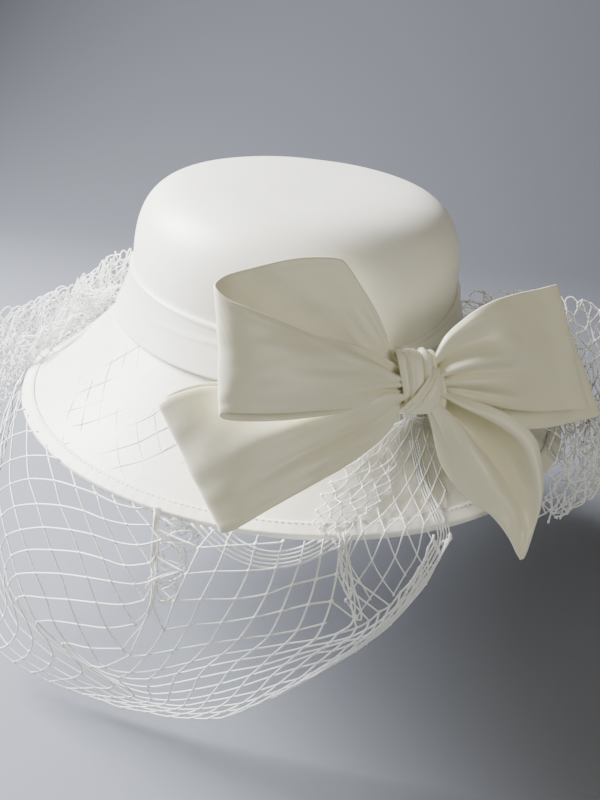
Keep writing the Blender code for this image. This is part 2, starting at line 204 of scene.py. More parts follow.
def clouded(tree, shader, noise, low, high):
    """Soft clouds of colour between two shades, laid out in the object's own space."""
    cloud = node(tree, "ShaderNodeTexNoise", noise)
    wire(tree, coordinates(tree, (1, 1, 1), "Object"), "Vector", cloud, "Vector")
    tint(tree, shader, cloud, "Fac", low, high)
    return cloud


def satin_material(name, low, high, roughness, thread=0.00045, weave=0.25, slub=0.3):
    """Satin: fine floats along one direction, a soft sheen and faint cloudy colour.

    UVs are in metres, so thread is the real width of one float.
    """
    mat, tree, shader = new_material(name)
    shader.inputs["Specular IOR Level"].default_value = 0.5
    shader.inputs["Sheen Weight"].default_value = 0.22
    shader.inputs["Sheen Roughness"].default_value = 0.4
    shader.inputs["Sheen Tint"].default_value = (1.0, 0.98, 0.94, 1.0)
    shader.inputs["Subsurface Weight"].default_value = 0.06
    shader.inputs["Subsurface Radius"].default_value = (0.004, 0.003, 0.002)
    cloud = clouded(tree, shader, {"Scale": 22.0, "Detail": 4.0, "Roughness": 0.55}, low, high)
    floats = node(tree, "ShaderNodeTexWave", {"Scale": 1.0, "Distortion": 1.2, "Detail": 1.0})
    floats.wave_type = "BANDS"
    floats.bands_direction = "DIAGONAL"
    turns = 1.0 / (thread * 20.0)
    wire(tree, coordinates(tree, (turns, turns, turns)), "Vector", floats, "Vector")
    grain = node(tree, "ShaderNodeTexNoise", {"Scale": 1.0, "Detail": 2.0})
    wire(tree, coordinates(tree, (500.0, 2600.0, 1.0)), "Vector", grain, "Vector")
    fine = node(tree, "ShaderNodeBump", {"Strength": weave, "Distance": 0.00006})
    wire(tree, floats, "Fac", fine, "Height")
    coarse = node(tree, "ShaderNodeBump", {"Strength": slub, "Distance": 0.00005})
    wire(tree, grain, "Fac", coarse, "Height")
    wire(tree, fine, "Normal", coarse, "Normal")
    wire(tree, coarse, "Normal", shader, "Normal")
    gloss = node(tree, "ShaderNodeMapRange", {"To Min": roughness - 0.05, "To Max": roughness + 0.07})
    wire(tree, cloud, "Fac", gloss, "Value")
    wire(tree, gloss, "Result", shader, "Roughness")
    return mat


def ribbed_material(name, low, high, rib, roughness):
    """Grosgrain: ribs that run across the ribbon, rib metres apart along its length (U)."""
    mat, tree, shader = new_material(name)
    shader.inputs["Sheen Weight"].default_value = 0.2
    shader.inputs["Roughness"].default_value = roughness
    clouded(tree, shader, {"Scale": 40.0, "Detail": 3.0}, low, high)
    ribs = node(tree, "ShaderNodeTexWave", {"Scale": 1.0, "Distortion": 0.4, "Detail": 1.0})
    ribs.wave_type = "BANDS"
    ribs.bands_direction = "X"
    turns = 1.0 / (rib * 20.0)
    wire(tree, coordinates(tree, (turns, turns, turns)), "Vector", ribs, "Vector")
    bump = node(tree, "ShaderNodeBump", {"Strength": 0.5, "Distance": 0.00012})
    wire(tree, ribs, "Fac", bump, "Height")
    wire(tree, bump, "Normal", shader, "Normal")
    return mat


IVORY_LOW = (0.80, 0.78, 0.69)
IVORY_HIGH = (0.86, 0.845, 0.765)
crown_satin = satin_material("crown_satin", IVORY_LOW, IVORY_HIGH, 0.42)
band_satin = satin_material("band_satin", IVORY_LOW, IVORY_HIGH, 0.38)
bow_satin = satin_material("bow_satin", (0.79, 0.765, 0.575), (0.85, 0.83, 0.66), 0.34)
binding_satin = ribbed_material("binding_satin", IVORY_LOW, IVORY_HIGH, 0.0009, 0.5)
sweat_ribbon = ribbed_material("sweat_ribbon", (0.74, 0.72, 0.66), (0.80, 0.78, 0.72), 0.0016, 0.6)
lining_cloth = satin_material("lining_cloth", (0.76, 0.75, 0.71), (0.82, 0.81, 0.77), 0.6, 0.0006)


# ---------------------------------------------------------------- surfaces from grids of points
def grid_object(name, grid, mat, uv=None, around=False, along=False, thickness=0.0, offset=-1.0, ends=()):
    """A quad surface over grid[row, column]. around closes the columns, along closes the rows.

    ends are more faces between its points, which get no UVs of their own.
    """
    grid = np.asarray(grid, dtype=np.float64)
    rows, columns = grid.shape[:2]
    last_row = rows if along else rows - 1
    last_column = columns if around else columns - 1
    faces, loops = [], []
    if uv is None:
        step_v = np.zeros((rows, columns))
        step_v[1:] = np.cumsum(np.linalg.norm(np.diff(grid, axis=0), axis=2), axis=0)
        step_u = np.zeros((rows, columns))
        step_u[:, 1:] = np.cumsum(np.linalg.norm(np.diff(grid, axis=1), axis=2), axis=1)
        uv = np.stack([step_u, step_v], axis=2)
    for j in range(last_row):
        for i in range(last_column):
            ring = ((j, i), (j, i + 1), (j + 1, i + 1), (j + 1, i))
            faces.append([(a % rows) * columns + b % columns for a, b in ring])
            loops.append([uv[min(a, rows - 1), min(b, columns - 1)] for a, b in ring])
    obj = add_mesh(name, grid.reshape(-1, 3), faces + list(ends), mat)
    layer = obj.data.uv_layers.new(name="UVMap")
    blank = np.zeros(2 * sum(len(face) for face in ends), dtype=np.float32)
    layer.data.foreach_set("uv", np.concatenate([np.asarray(loops, dtype=np.float32).ravel(), blank]))
    if thickness:
        wall = obj.modifiers.new("wall", "SOLIDIFY")
        wall.thickness = thickness
        wall.offset = offset
    return obj


def finish_piece(obj, slot, *nodes):
    """Rides the piece on the hat and hides the CAD nodes it stands for. Its slot argument is not used."""
    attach(obj, BODY)
    if nodes:
        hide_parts(*nodes)
    return obj


def ripple(x, seed, waves):
    """A smooth repeatable wobble of x, from about -1 to 1, made of sines."""
    rng = np.random.default_rng(seed)
    total = np.zeros_like(np.asarray(x, dtype=float))
    for k in range(1, waves + 1):
        total += np.sin(k * np.asarray(x) + rng.uniform(0, 2 * math.pi)) / k
    return total / 1.6


def smoothstep(low, high, x):
    t = np.clip((np.asarray(x, dtype=float) - low) / (high - low), 0.0, 1.0)
    return t * t * (3 - 2 * t)


def angles(count=RING_STEPS):
    """Azimuths of a ring in radians: 0 is the front, and a quarter turn on is +X."""
    return np.linspace(0.0, 2 * math.pi, count, endpoint=False)


def oval(a, b, z, azimuth):
    return np.stack([a * np.sin(azimuth), -b * np.cos(azimuth), z + 0.0 * azimuth], axis=-1)


# ---------------------------------------------------------------- crown
CROWN_HALF_WIDTH = 0.0820
CROWN_BASE_HALF_WIDTH = 0.0870
CROWN_SHOULDER_BASE = 0.019
CROWN_HEIGHT = 0.0664
CROWN_SIDE_POWER = 6.5
CROWN_TOP_POWER = 2.9
CROWN_TOP_DOME = 0.0015
CROWN_FLARE_POWER = 1.6
CROWN_FOOT_Z = 0.001
CROWN_ROWS = 90
# The half width at the very top, where the satin closes almost to a point.
CROWN_POLE = 0.00002
CROWN_COVER_THICKNESS = 0.0005
LINING_INSET = 0.0020
LINING_THICKNESS = 0.0004


def crown_profile(inset, count):
    """Half widths and heights from the foot of the crown to its top."""
    half_width = CROWN_HALF_WIDTH - inset
    flare = CROWN_BASE_HALF_WIDTH - CROWN_HALF_WIDTH
    share = np.linspace(1.0, 0.0, 10)[:-1]
    foot_a = half_width + flare * share**CROWN_FLARE_POWER
    foot_z = CROWN_SHOULDER_BASE * (1 - share) + CROWN_FOOT_Z * share
    angle = np.linspace(0.0, math.pi / 2, count)
    dome_a = half_width * np.cos(angle) ** (2 / CROWN_SIDE_POWER)
    dome_a[-1] = CROWN_POLE
    rise = CROWN_HEIGHT - inset - CROWN_SHOULDER_BASE
    dome_z = CROWN_SHOULDER_BASE + rise * np.sin(angle) ** (2 / CROWN_TOP_POWER)
    dome_z += CROWN_TOP_DOME * (1 - (dome_a / half_width) ** 2)
    a = np.concatenate([foot_a, dome_a])
    z = np.concatenate([foot_z, dome_z])
    length = np.concatenate([[0.0], np.cumsum(np.hypot(np.diff(a), np.diff(z)))])
    even = np.linspace(0.0, length[-1], count)
    return np.interp(even, length, a), np.interp(even, length, z), even


def crown_shell(name, inset, mat, thickness, sag):
    a, z, run = crown_profile(inset, CROWN_ROWS)
    azimuth = angles()
    grid = np.zeros((len(a), RING_STEPS, 3))
    for k in range(len(a)):
        wobble = sag * ripple(azimuth * 2 + 3 * run[k] / 0.05, 11, 5) * min(1.0, a[k] / 0.03) ** 2
        grid[k] = oval(a[k] + wobble, (a[k] + wobble) * CROWN_ASPECT, z[k] + wobble, azimuth)
    uv = np.zeros((len(a), RING_STEPS, 2))
    uv[..., 0] = azimuth[None, :] * CROWN_HALF_WIDTH
    uv[..., 1] = run[:, None]
    grid = grid[::-1]
    return grid_object(name, grid, mat, uv[::-1], around=True, thickness=thickness)


cover = crown_shell("crown_satin_skin", 0.0, crown_satin, CROWN_COVER_THICKNESS, 0.00016)
finish_piece(cover, "satin", "crown_satin_cover")
inner = crown_shell("crown_lining_skin", LINING_INSET, lining_cloth, LINING_THICKNESS, 0.0002)
finish_piece(inner, "lining", "crown_lining")


# ---------------------------------------------------------------- brim
BRIM_INNER = (0.0876, 0.1009, 0.0004)
BRIM_OUTER = (0.1425, 0.1483, -0.0412)
BRIM_HOLLOW = 0.5
BRIM_SHIFT = 0.0045
BRIM_BACK_DROP = 0.005
BRIM_HALF_THICKNESS = 0.0004
COVER_GAP = 0.0003
COVER_THICKNESS = 0.0004
COVER_END_SHARE = 0.985
BINDING_DEPTH_SHARE = 0.116
BINDING_WALL = 0.0004
STITCH_INSET = BINDING_DEPTH_SHARE * 0.82
STITCH_COUNT = 330


def brim_point(share, lift):
    """Half width, half depth and height at a share of the way to the edge, lifted square off."""
    share = np.asarray(share, dtype=float)
    a = BRIM_INNER[0] + (BRIM_OUTER[0] - BRIM_INNER[0]) * share
    b = BRIM_INNER[1] + (BRIM_OUTER[1] - BRIM_INNER[1]) * share
    drop = BRIM_OUTER[2] - BRIM_INNER[2]
    z = BRIM_INNER[2] + drop * share * (1.0 + BRIM_HOLLOW * (1.0 - share))
    slope = drop * (1.0 + BRIM_HOLLOW * (1.0 - 2.0 * share))
    slope /= BRIM_OUTER[0] - BRIM_INNER[0]
    size = np.hypot(1.0, slope)
    return a - lift * slope / size, b - lift * slope / size, z + lift / size


def offset_brim(points, share, azimuth):
    """Shifts points of the even oval by the brim's lean: share 0 is the crown, 1 the edge."""
    share = np.minimum(share, 1.0)
    points[..., 0] += BRIM_SHIFT * share
    points[..., 2] -= BRIM_BACK_DROP * share * (1.0 - np.cos(azimuth)) / 2
    return points


def brim_surface(share, azimuth, lift):
    """Points on the brim, whose edge sits a little towards +X and dips a little at the back."""
    a, b, z = brim_point(share, lift)
    return offset_brim(oval(a, b, z, azimuth), share, azimuth)


def brim_skin(name, lift, mat, thickness, seed):
    shares = np.linspace(0.0, COVER_END_SHARE, 40)
    azimuth = angles()
    grid = np.zeros((len(shares), RING_STEPS, 3))
    for k, share in enumerate(shares):
        wave = 0.00018 * ripple(azimuth * 3 + 4 * share, seed, 6) * math.sin(math.pi * share)
        pucker = 0.00007 * np.sin(azimuth * 140) * smoothstep(0.80, 0.9, share)
        grid[k] = brim_surface(share, azimuth, lift + wave + pucker)
    uv = np.zeros((len(shares), RING_STEPS, 2))
    uv[..., 0] = azimuth[None, :] * BRIM_OUTER[0]
    uv[..., 1] = shares[:, None] * 0.07
    if lift > 0:
        grid, uv = grid[::-1], uv[::-1]
    return grid_object(name, grid, mat, uv, around=True, thickness=thickness)


cover_low = BRIM_HALF_THICKNESS + COVER_GAP
cover_high = cover_low + COVER_THICKNESS
upper = brim_skin("brim_upper_skin", cover_high, crown_satin, COVER_THICKNESS, 21)
finish_piece(upper, "satin", "brim_satin_upper")
lower = brim_skin("brim_lower_skin", -cover_high, crown_satin, COVER_THICKNESS, 22)
finish_piece(lower, "satin", "brim_satin_lower")
binding_height = cover_high + COVER_GAP + BINDING_WALL


def binding():
    """The satin binding folded over the edge, a little puckered at its row of stitches."""
    steps = RING_STEPS * 3
    azimuth = angles(steps)
    height = binding_height
    top_shares = np.linspace(1.0 - BINDING_DEPTH_SHARE, 1.0, 9)
    section = [(s, height) for s in top_shares]
    for k in range(1, 8):
        turn = math.pi * k / 8
        section.append((1.0 + 0.014 * math.sin(turn), height * math.cos(turn)))
    section += [(s, -height) for s in top_shares[::-1]]
    section.append((1.0 - BINDING_DEPTH_SHARE, -height + 0.0003))
    section += [(s, -height + BINDING_WALL) for s in top_shares[1:-1]]
    section += [(0.996, -height + BINDING_WALL), (0.996, height - BINDING_WALL)]
    section += [(s, height - BINDING_WALL) for s in top_shares[1:-1][::-1]]
    section.append((1.0 - BINDING_DEPTH_SHARE, height - 0.0003))
    grid = np.zeros((len(section), steps, 3))
    uv = np.zeros((len(section), steps, 2))
    for k, (share, lift) in enumerate(section):
        sign = 1.0 if lift > 0 else -1.0
        stitch = math.exp(-(((share - 1.0 + STITCH_INSET) / 0.010) ** 2))
        pull = -0.00016 * stitch * (0.6 + 0.4 * np.cos(azimuth * STITCH_COUNT))
        swell = 0.00008 * ripple(azimuth * 9, 31, 8)
        grid[k] = brim_surface(share, azimuth, lift + sign * (pull + swell))
        uv[k, :, 0] = azimuth * BRIM_OUTER[0]
        uv[k, :, 1] = k * 0.001
    grid, uv = grid[::-1], uv[::-1]
    return grid_object("brim_binding_cloth", grid, binding_satin, uv, around=True, along=True)


finish_piece(binding(), "binding", "brim_edge_binding")


def stitch_row(name, share, length, radius, lift, mat):
    """One line of machine stitches round the brim, each a short rounded thread."""
    points, faces = [], []
    sides, rings = 6, 6
    half = length / (BRIM_OUTER[0] + BRIM_OUTER[1])
    for k in range(STITCH_COUNT):
        middle = 2 * math.pi * (k + 0.5) / STITCH_COUNT
        base = len(points)
        for r in range(rings):
            t = -1 + 2 * r / (rings - 1)
            rise = radius * 1.1 * (1 - t**4)
            angle = middle + half * t
            here = brim_surface(share, angle, lift + rise - radius * 0.6)
            ahead = brim_surface(share, angle + 0.001, lift) - brim_surface(share, angle - 0.001, lift)
            along = ahead / np.linalg.norm(ahead)
            out = brim_surface(share, angle, lift + 0.001) - brim_surface(share, angle, lift)
            out /= np.linalg.norm(out)
            side = np.cross(along, out)
            size = radius * (0.35 if r in (0, rings - 1) else 1.0)
            for s in range(sides):
                turn = 2 * math.pi * s / sides
                points.append(here + size * (math.cos(turn) * side + math.sin(turn) * out))
        for r in range(rings - 1):
            for s in range(sides):
                a, b = base + r * sides + s, base + r * sides + (s + 1) % sides
                faces.append((a, a + sides, b + sides, b))
        faces.append([base + s for s in range(sides)])
        faces.append([base + (rings - 1) * sides + s for s in reversed(range(sides))])
    return add_mesh(name, points, faces, mat)


thread_mat = satin_material("sewing_thread", (0.78, 0.765, 0.70), (0.86, 0.85, 0.80), 0.55, 0.0003)
for label, lift in (("upper", binding_height), ("lower", -binding_height)):
    row = stitch_row(f"binding_stitches_{label}", 1.0 - STITCH_INSET, 0.0017, 0.00022, lift, thread_mat)
    finish_piece(row, "thread")


# ---------------------------------------------------------------- inside the head opening
def inner_ribbon(name, space, inset, thickness, seed):
    """An upright ribbon inside the crown, leaning with the wall and slightly uneven."""
    low, high = space
    azimuth = angles()
    lean = (CROWN_BASE_HALF_WIDTH - CROWN_HALF_WIDTH) / CROWN_SHOULDER_BASE
    heights = np.linspace(low.z, high.z, 10)
    grid = np.zeros((len(heights), RING_STEPS, 3))
    for k, z in enumerate(heights):
        a = high.x - inset - lean * z + 0.0003 * ripple(azimuth * 4 + z * 60, seed, 6)
        grid[k] = oval(a, a * CROWN_ASPECT, z, azimuth)
    return grid_object(name, grid, sweat_ribbon, around=True, thickness=thickness, offset=1.0)


tape = inner_ribbon("seam_tape_ribbon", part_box("seam_tape"), 0.0006, 0.0005, 41)
finish_piece(tape, "lining", "seam_tape")
sweat = inner_ribbon("sweatband_ribbon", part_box("sweatband"), 0.0008, 0.0006, 42)
finish_piece(sweat, "sweatband", "sweatband")


# ---------------------------------------------------------------- hat band
BAND_BOTTOM_HALF_WIDTH = 0.0920
BAND_STAND = 0.0046
BAND_EDGE = 0.0022
BAND_BOTTOM_Z = 0.0012
BAND_TOP_Z = 0.0242
# The band's middle swells by this much, and its inside stands this far off the crown.
BAND_SWELL = 0.0006
BAND_CLEARANCE = 0.00015
# Where the top edge is drawn down towards the knot: degrees from the front, and metres.
BAND_DIP = [(-60, 0.0), (-10, 0.004), (20, 0.0105), (35, 0.0105), (47, 0.0090), (60, 0.0062), (85, 0.0)]


def lookup(table, at):
    """Straight-line values from a table of (place, value, ...) rows."""
    table = np.asarray(table, dtype=float)
    columns = [np.interp(at, table[:, 0], table[:, k]) for k in range(1, table.shape[1])]
    return columns[0] if len(columns) == 1 else columns


def crown_wall(z):
    """Half width of the crown's satin at a height low on its wall."""
    a, height, _ = crown_profile(0.0, CROWN_ROWS)
    return np.interp(z, height[:60], a[:60])


def signed_degrees(azimuth):
    return (np.degrees(azimuth) + 180.0) % 360.0 - 180.0


def band_cloth():
    """The folded satin band: thick at its foot, tight to the crown at its top edge."""
    steps = RING_STEPS * 2
    azimuth = angles(steps)
    degrees = signed_degrees(azimuth)
    top = BAND_TOP_Z - lookup(BAND_DIP, degrees)
    outer = np.linspace(0.0, 1.0, 30)
    turn = np.linspace(0.0, math.pi, 7)[1:-1]
    section = [(v, 1.0) for v in outer]
    section += [(1.0 + 0.03 * math.sin(t), 0.5 + 0.5 * math.cos(t)) for t in turn]
    section += [(v, 0.0) for v in outer[::-3]]
    section += [(-0.03 * math.sin(t), 0.5 - 0.5 * math.cos(t)) for t in turn]
    grid = np.zeros((len(section), steps, 3))
    uv = np.zeros((len(section), steps, 2))
    gather = smoothstep(46, 26, np.abs(degrees - 30))
    for k, (v, out) in enumerate(section):
        z = BAND_BOTTOM_Z + (top - BAND_BOTTOM_Z) * v
        wall = crown_wall(z) + BAND_STAND * (1 - v) + BAND_EDGE * v + BAND_SWELL * math.sin(math.pi * v)
        slant = 0.30 + 0.55 * (0.5 + 0.5 * np.sin(azimuth + 0.75))
        crease = 0.0005 * np.exp(-(((v - slant) / 0.05) ** 2)) * (0.5 + 0.5 * np.sin(azimuth * 2 + 1.0))
        rays = 0.0008 * gather * np.cos(v * 14 + degrees * 0.05)
        hem = 0.0004 * math.exp(-(((v - 0.965) / 0.022) ** 2))
        soft = 0.00018 * ripple(azimuth * 3 + 3 * v, 51, 5)
        inner = crown_wall(z) + BAND_CLEARANCE
        a = inner + (wall + crease + rays + hem + soft - inner) * out
        grid[k] = oval(a, a * CROWN_ASPECT, z, azimuth)
        uv[k, :, 0] = azimuth * BAND_BOTTOM_HALF_WIDTH
        uv[k, :, 1] = v * 0.025
    return grid_object("hat_band_cloth", grid, band_satin, uv, around=True, along=True)


finish_piece(band_cloth(), "band_satin", "hat_band")


# ---------------------------------------------------------------- bow
BOW_CENTRE = (0.0560, -0.1020, 0.0085)
BOW_AZIMUTH = math.radians(22)
BOW_TILT = math.radians(20)
RIBBON_THICKNESS = 0.0009
RIBBON_ROWS, RIBBON_COLUMNS = 150, 56
# The ridge of a ribbon's hem: its height, and how far in and how wide it is.
HEM_RISE, HEM_INSET, HEM_WIDTH = 0.00018, 0.0016, 0.0011
bow_turn = Matrix.Rotation(BOW_AZIMUTH, 3, "Z") @ Matrix.Rotation(-BOW_TILT, 3, "X")


def on_bow(points):
    """Points in the bow's own frame, taken to the hat. Its -Y faces outwards and +Z is up."""
    return np.asarray(points) @ np.array(bow_turn).T + np.array(BOW_CENTRE)


def curve_rows(control, count):
    """A smooth curve through rows of points, denser where they lie closer together."""
    control = np.asarray(control, dtype=float)
    gaps = np.linalg.norm(np.diff(control, axis=0), axis=-1)
    gaps = np.sqrt(gaps.reshape(len(gaps), -1).mean(axis=1)) + 1e-6
    knots = np.concatenate([[0.0], np.cumsum(gaps)])
    slope = np.diff(control, axis=0) / gaps.reshape(-1, *[1] * (control.ndim - 1))
    tangent = np.empty_like(control)
    tangent[0], tangent[-1] = slope[0], slope[-1]
    for k in range(1, len(control) - 1):
        a, b = gaps[k - 1], gaps[k]
        tangent[k] = (slope[k - 1] * b + slope[k] * a) / (a + b)
    at = np.linspace(0.0, knots[-1], count)
    index = np.clip(np.searchsorted(knots, at, side="right") - 1, 0, len(control) - 2)
    shape = (-1, *[1] * (control.ndim - 1))
    h = gaps[index].reshape(shape)
    t = ((at - knots[index]) / gaps[index]).reshape(shape)
    p0, p1, m0, m1 = control[index], control[index + 1], tangent[index] * h, tangent[index + 1] * h
    return (
        (2 * t**3 - 3 * t**2 + 1) * p0
        + (t**3 - 2 * t**2 + t) * m0
        + (-2 * t**3 + 3 * t**2) * p1
        + (t**3 - t**2) * m1
    )


def surface_normals(surface):
    along = np.gradient(surface, axis=0)
    across = np.gradient(surface, axis=1)
    normal = np.cross(along, across)
    return normal / np.maximum(np.linalg.norm(normal, axis=2, keepdims=True), 1e-12)


def ribbon_surface(stations, rows, columns):
    """The middle surface of a ribbon from (low edge, high edge, bulges) stations in centimetres."""
    control = []
    for low, high, *bulge in stations:
        low, high = np.array(low, dtype=float), np.array(high, dtype=float)
        bulge = (bulge or [0.0])[0]
        quarter, middle, three = bulge if isinstance(bulge, tuple) else (bulge * 0.75, bulge, bulge * 0.75)
        line = []
        for v, out in ((0.0, 0.0), (0.25, quarter), (0.5, middle), (0.75, three), (1.0, 0.0)):
            line.append(low + (high - low) * v + np.array((0.0, -out, 0.0)))
        control.append(line)
    lengthwise = curve_rows(control, rows)
    across = curve_rows(np.swapaxes(lengthwise, 0, 1), columns)
    return np.swapaxes(across, 0, 1) * 0.01


def pleated(surface, pleats, seed):
    """Presses pleats into a ribbon: (v at the knot, v far out, width, height, reach).

    v and width are shares of the ribbon's width. Height and reach are in metres.
    """
    normal = surface_normals(surface)
    if normal[: len(normal) // 3, :, 1].mean() > 0:
        normal = -normal
    middle = surface[:, surface.shape[1] // 2]
    run = np.concatenate([[0.0], np.cumsum(np.linalg.norm(np.diff(middle, axis=0), axis=1))])
    u = run[:, None]
    v = np.linspace(0.0, 1.0, surface.shape[1])[None, :]
    lift = np.zeros((len(run), surface.shape[1]))
    for start, end, width, height, reach in pleats:
        share = np.clip(u / reach, 0.0, 1.0)
        line = start + (end - start) * share
        fade = 1.0 - smoothstep(0.35, 1.0, share)
        lift += height * fade * np.exp(-(((v - line) / width) ** 2))
    lift += 0.0003 * ripple(u * 70 + 5 * v, seed, 5) + 0.0002 * ripple(v * 9 + u * 20, seed + 1, 4)
    return surface + normal * lift[..., None]


def edge_direction(outer, inner):
    """Unit steps outwards along one edge of a ribbon."""
    step = outer - inner
    return step / np.maximum(np.linalg.norm(step, axis=1, keepdims=True), 1e-12)


def ribbon_shell(name, surface, mat):
    """A closed ribbon of a double layer of cloth: two faces, rolled edges and closed ends."""
    normal = surface_normals(surface)
    half = RIBBON_THICKNESS / 2
    rows, columns = surface.shape[:2]
    v = np.linspace(0.0, 1.0, columns)
    edge = np.minimum(v, 1 - v)[None, :, None]
    width = np.linalg.norm(surface[:, -1] - surface[:, 0], axis=1)[:, None, None]
    body = half + HEM_RISE * np.exp(-(((edge * width - HEM_INSET) / HEM_WIDTH) ** 2))
    front = surface + normal * body
    back = surface - normal * body
    side_low = edge_direction(surface[:, 0], surface[:, 1])
    side_high = edge_direction(surface[:, -1], surface[:, -2])
    rolls = [math.pi * t for t in (0.25, 0.5, 0.75)]
    loop = [front[:, k] for k in range(columns)]
    for turn in rolls:
        loop.append(surface[:, -1] + half * (math.sin(turn) * side_high + math.cos(turn) * normal[:, -1]))
    loop += [back[:, k] for k in range(columns - 1, -1, -1)]
    for turn in rolls:
        loop.append(surface[:, 0] + half * (math.sin(turn) * side_low - math.cos(turn) * normal[:, 0]))
    grid = np.stack(loop, axis=1)
    count = grid.shape[1]
    ends = []
    for row, flip in ((0, False), (rows - 1, True)):
        base = row * count
        closing = []
        for k in range(columns - 1):
            mirror = 2 * columns + 2 - k
            closing.append((base + k, base + mirror, base + mirror - 1, base + k + 1))
        closing.append([base] + [base + count - j for j in (1, 2, 3)] + [base + 2 * columns + 2])
        closing.append([base + columns - 1, base + columns + 3] + [base + columns + j for j in (2, 1, 0)])
        ends += [face[::-1] if flip else face for face in closing]
    return grid_object(name, on_bow(grid), mat, around=True, ends=ends)


# The ribbons of the bow, each as (low edge, high edge, bulge) stations in centimetres in the bow's frame.
# Not all of these numbers were designed here: the x and z of the edges that the photograph shows follow
# the results of a scratch program, which placed points read off the photograph.
UPPER_LEFT = [
    ((-0.5, -0.2, -0.2), (-0.5, -0.2, 0.6)),
    ((-1.1, -0.35, -0.3), (-1.3, -0.4, 0.9), 0.10),
    ((-2.3, -0.8, -0.4), (-2.3, -0.7, 1.55), 0.20),
    ((-3.7, -1.3, -0.5), (-3.6, -1.1, 2.0), 0.30),
    ((-5.2, -1.7, -0.4), (-5.2, -1.5, 2.4), 0.32),
    ((-6.9, -2.0, -0.3), (-6.7, -1.8, 3.0), 0.28),
    ((-8.4, -2.05, -0.15), (-8.1, -1.9, 3.6), 0.18),
    ((-8.95, -1.95, -0.1), (-8.72, -1.76, 3.92), 0.12),
    ((-9.22, -1.72, -0.2), (-9.02, -1.42, 4.40), 0.03),
    ((-9.02, -1.62, -0.38), (-8.65, -1.02, 4.70), -0.04),
    ((-7.3, -1.75, -0.6), (-7.2, -0.6, 5.05), -0.35),
    ((-4.8, -1.32, -0.67), (-5.2, -0.3, 5.35), -0.35),
    ((-3.7, -1.07, -0.6), (-3.62, -0.12, 5.28), -0.30),
    ((-3.5, -1.02, -0.6), (-3.36, -0.10, 5.16), -0.30),
    ((-2.8, -0.80, -0.56), (-2.65, -0.05, 4.2), -0.25),
    ((-1.9, -0.45, -0.45), (-1.85, 0.0, 2.9), -0.12),
    ((-1.1, -0.15, -0.3), (-1.1, 0.0, 1.2)),
    ((-0.5, 0.0, -0.2), (-0.5, 0.0, 0.6)),
]
UPPER_LEFT_PLEATS = [
    (0.48, 0.98, 0.07, 0.0014, 0.060),
    (0.78, 1.02, 0.13, -0.0034, 0.050),
    (0.20, 0.14, 0.07, -0.0016, 0.060),
    (0.34, 0.30, 0.07, 0.0012, 0.045),
    (0.62, 0.52, 0.06, -0.0007, 0.075),
]
LOWER_LEFT = [
    ((-0.5, -0.25, -0.7), (-0.5, -0.2, -0.2)),
    ((-1.2, -0.35, -1.0), (-1.2, -0.3, -0.3), 0.10),
    ((-1.65, -0.55, -1.55), (-2.0, -0.4, 0.10), 0.20),
    ((-2.6, -0.85, -2.15), (-3.4, -0.35, 0.15), 0.24),
    ((-4.2, -1.3, -2.8), (-5.4, -0.45, 0.25), (0.28, 0.26, 0.06)),
    ((-5.9, -1.7, -3.3), (-7.4, -0.55, 0.4), (0.28, 0.30, 0.12)),
    ((-7.7, -2.0, -3.9), (-9.4, -0.4, 0.65), 0.24),
    ((-8.9, -2.1, -4.35), (-10.7, -0.3, 0.40), 0.10),
    ((-9.5, -1.95, -4.50), (-11.1, -0.15, 0.15), 0.0),
    ((-9.0, -1.6, -4.60), (-10.6, 0.1, 0.45), -0.05),
    ((-7.5, -1.35, -4.05), (-9.2, 0.15, 0.75), -0.15),
    ((-5.7, -1.05, -3.50), (-7.0, 0.1, 0.50), -0.20),
    ((-3.6, -0.65, -2.75), (-4.4, 0.05, 0.10), -0.15),
    ((-2.0, -0.35, -1.75), (-2.4, 0.0, -0.20), -0.05),
    ((-1.1, -0.15, -1.0), (-1.2, 0.0, -0.30)),
    ((-0.5, 0.0, -0.7), (-0.5, 0.0, -0.20)),
]
LOWER_LEFT_PLEATS = [
    (0.80, 0.36, 0.13, 0.0030, 0.120),
    (0.50, 0.16, 0.06, -0.0014, 0.110),
    (0.30, 0.10, 0.05, 0.0008, 0.080),
    (0.92, 0.75, 0.07, -0.0018, 0.050),
]
RIGHT = [
    ((0.1, -0.2, -0.2), (0.1, -0.2, 0.6)),
    ((0.7, -0.35, -0.35), (0.5, -0.35, 1.1), 0.05),
    ((1.5, -0.6, -0.6), (0.9, -0.6, 1.95), 0.12),
    ((2.6, -0.6, -0.95), (1.9, -0.8, 2.75), 0.20),
    ((4.2, -0.4, -1.4), (3.2, -0.6, 3.25), 0.24),
    ((5.9, 0.0, -1.7), (4.7, -0.1, 3.5), 0.18),
    ((7.6, 0.4, -1.85), (6.2, 0.4, 3.65), 0.08),
    ((9.25, 0.75, -2.0), (7.6, 0.85, 3.8), 0.0),
    ((9.0, 1.1, -1.85), (7.4, 1.2, 3.65), 0.0),
    ((6.5, 0.95, -1.5), (5.4, 1.0, 3.2)),
    ((3.4, 0.5, -0.9), (2.8, 0.5, 2.2)),
    ((1.2, 0.1, -0.4), (1.0, 0.1, 0.9)),
    ((0.1, 0.0, -0.2), (0.1, 0.0, 0.5)),
]
RIGHT_PLEATS = [
    (0.70, 0.66, 0.13, -0.0042, 0.045),
    (0.46, 0.52, 0.05, 0.0016, 0.050),
    (0.36, 0.40, 0.05, -0.0022, 0.062),
    (0.24, 0.26, 0.06, 0.0012, 0.050),
    (0.12, 0.12, 0.05, -0.0014, 0.060),
    (0.92, 0.90, 0.07, 0.0014, 0.060),
    (0.50, 0.58, 0.16, 0.0016, 0.095),
]
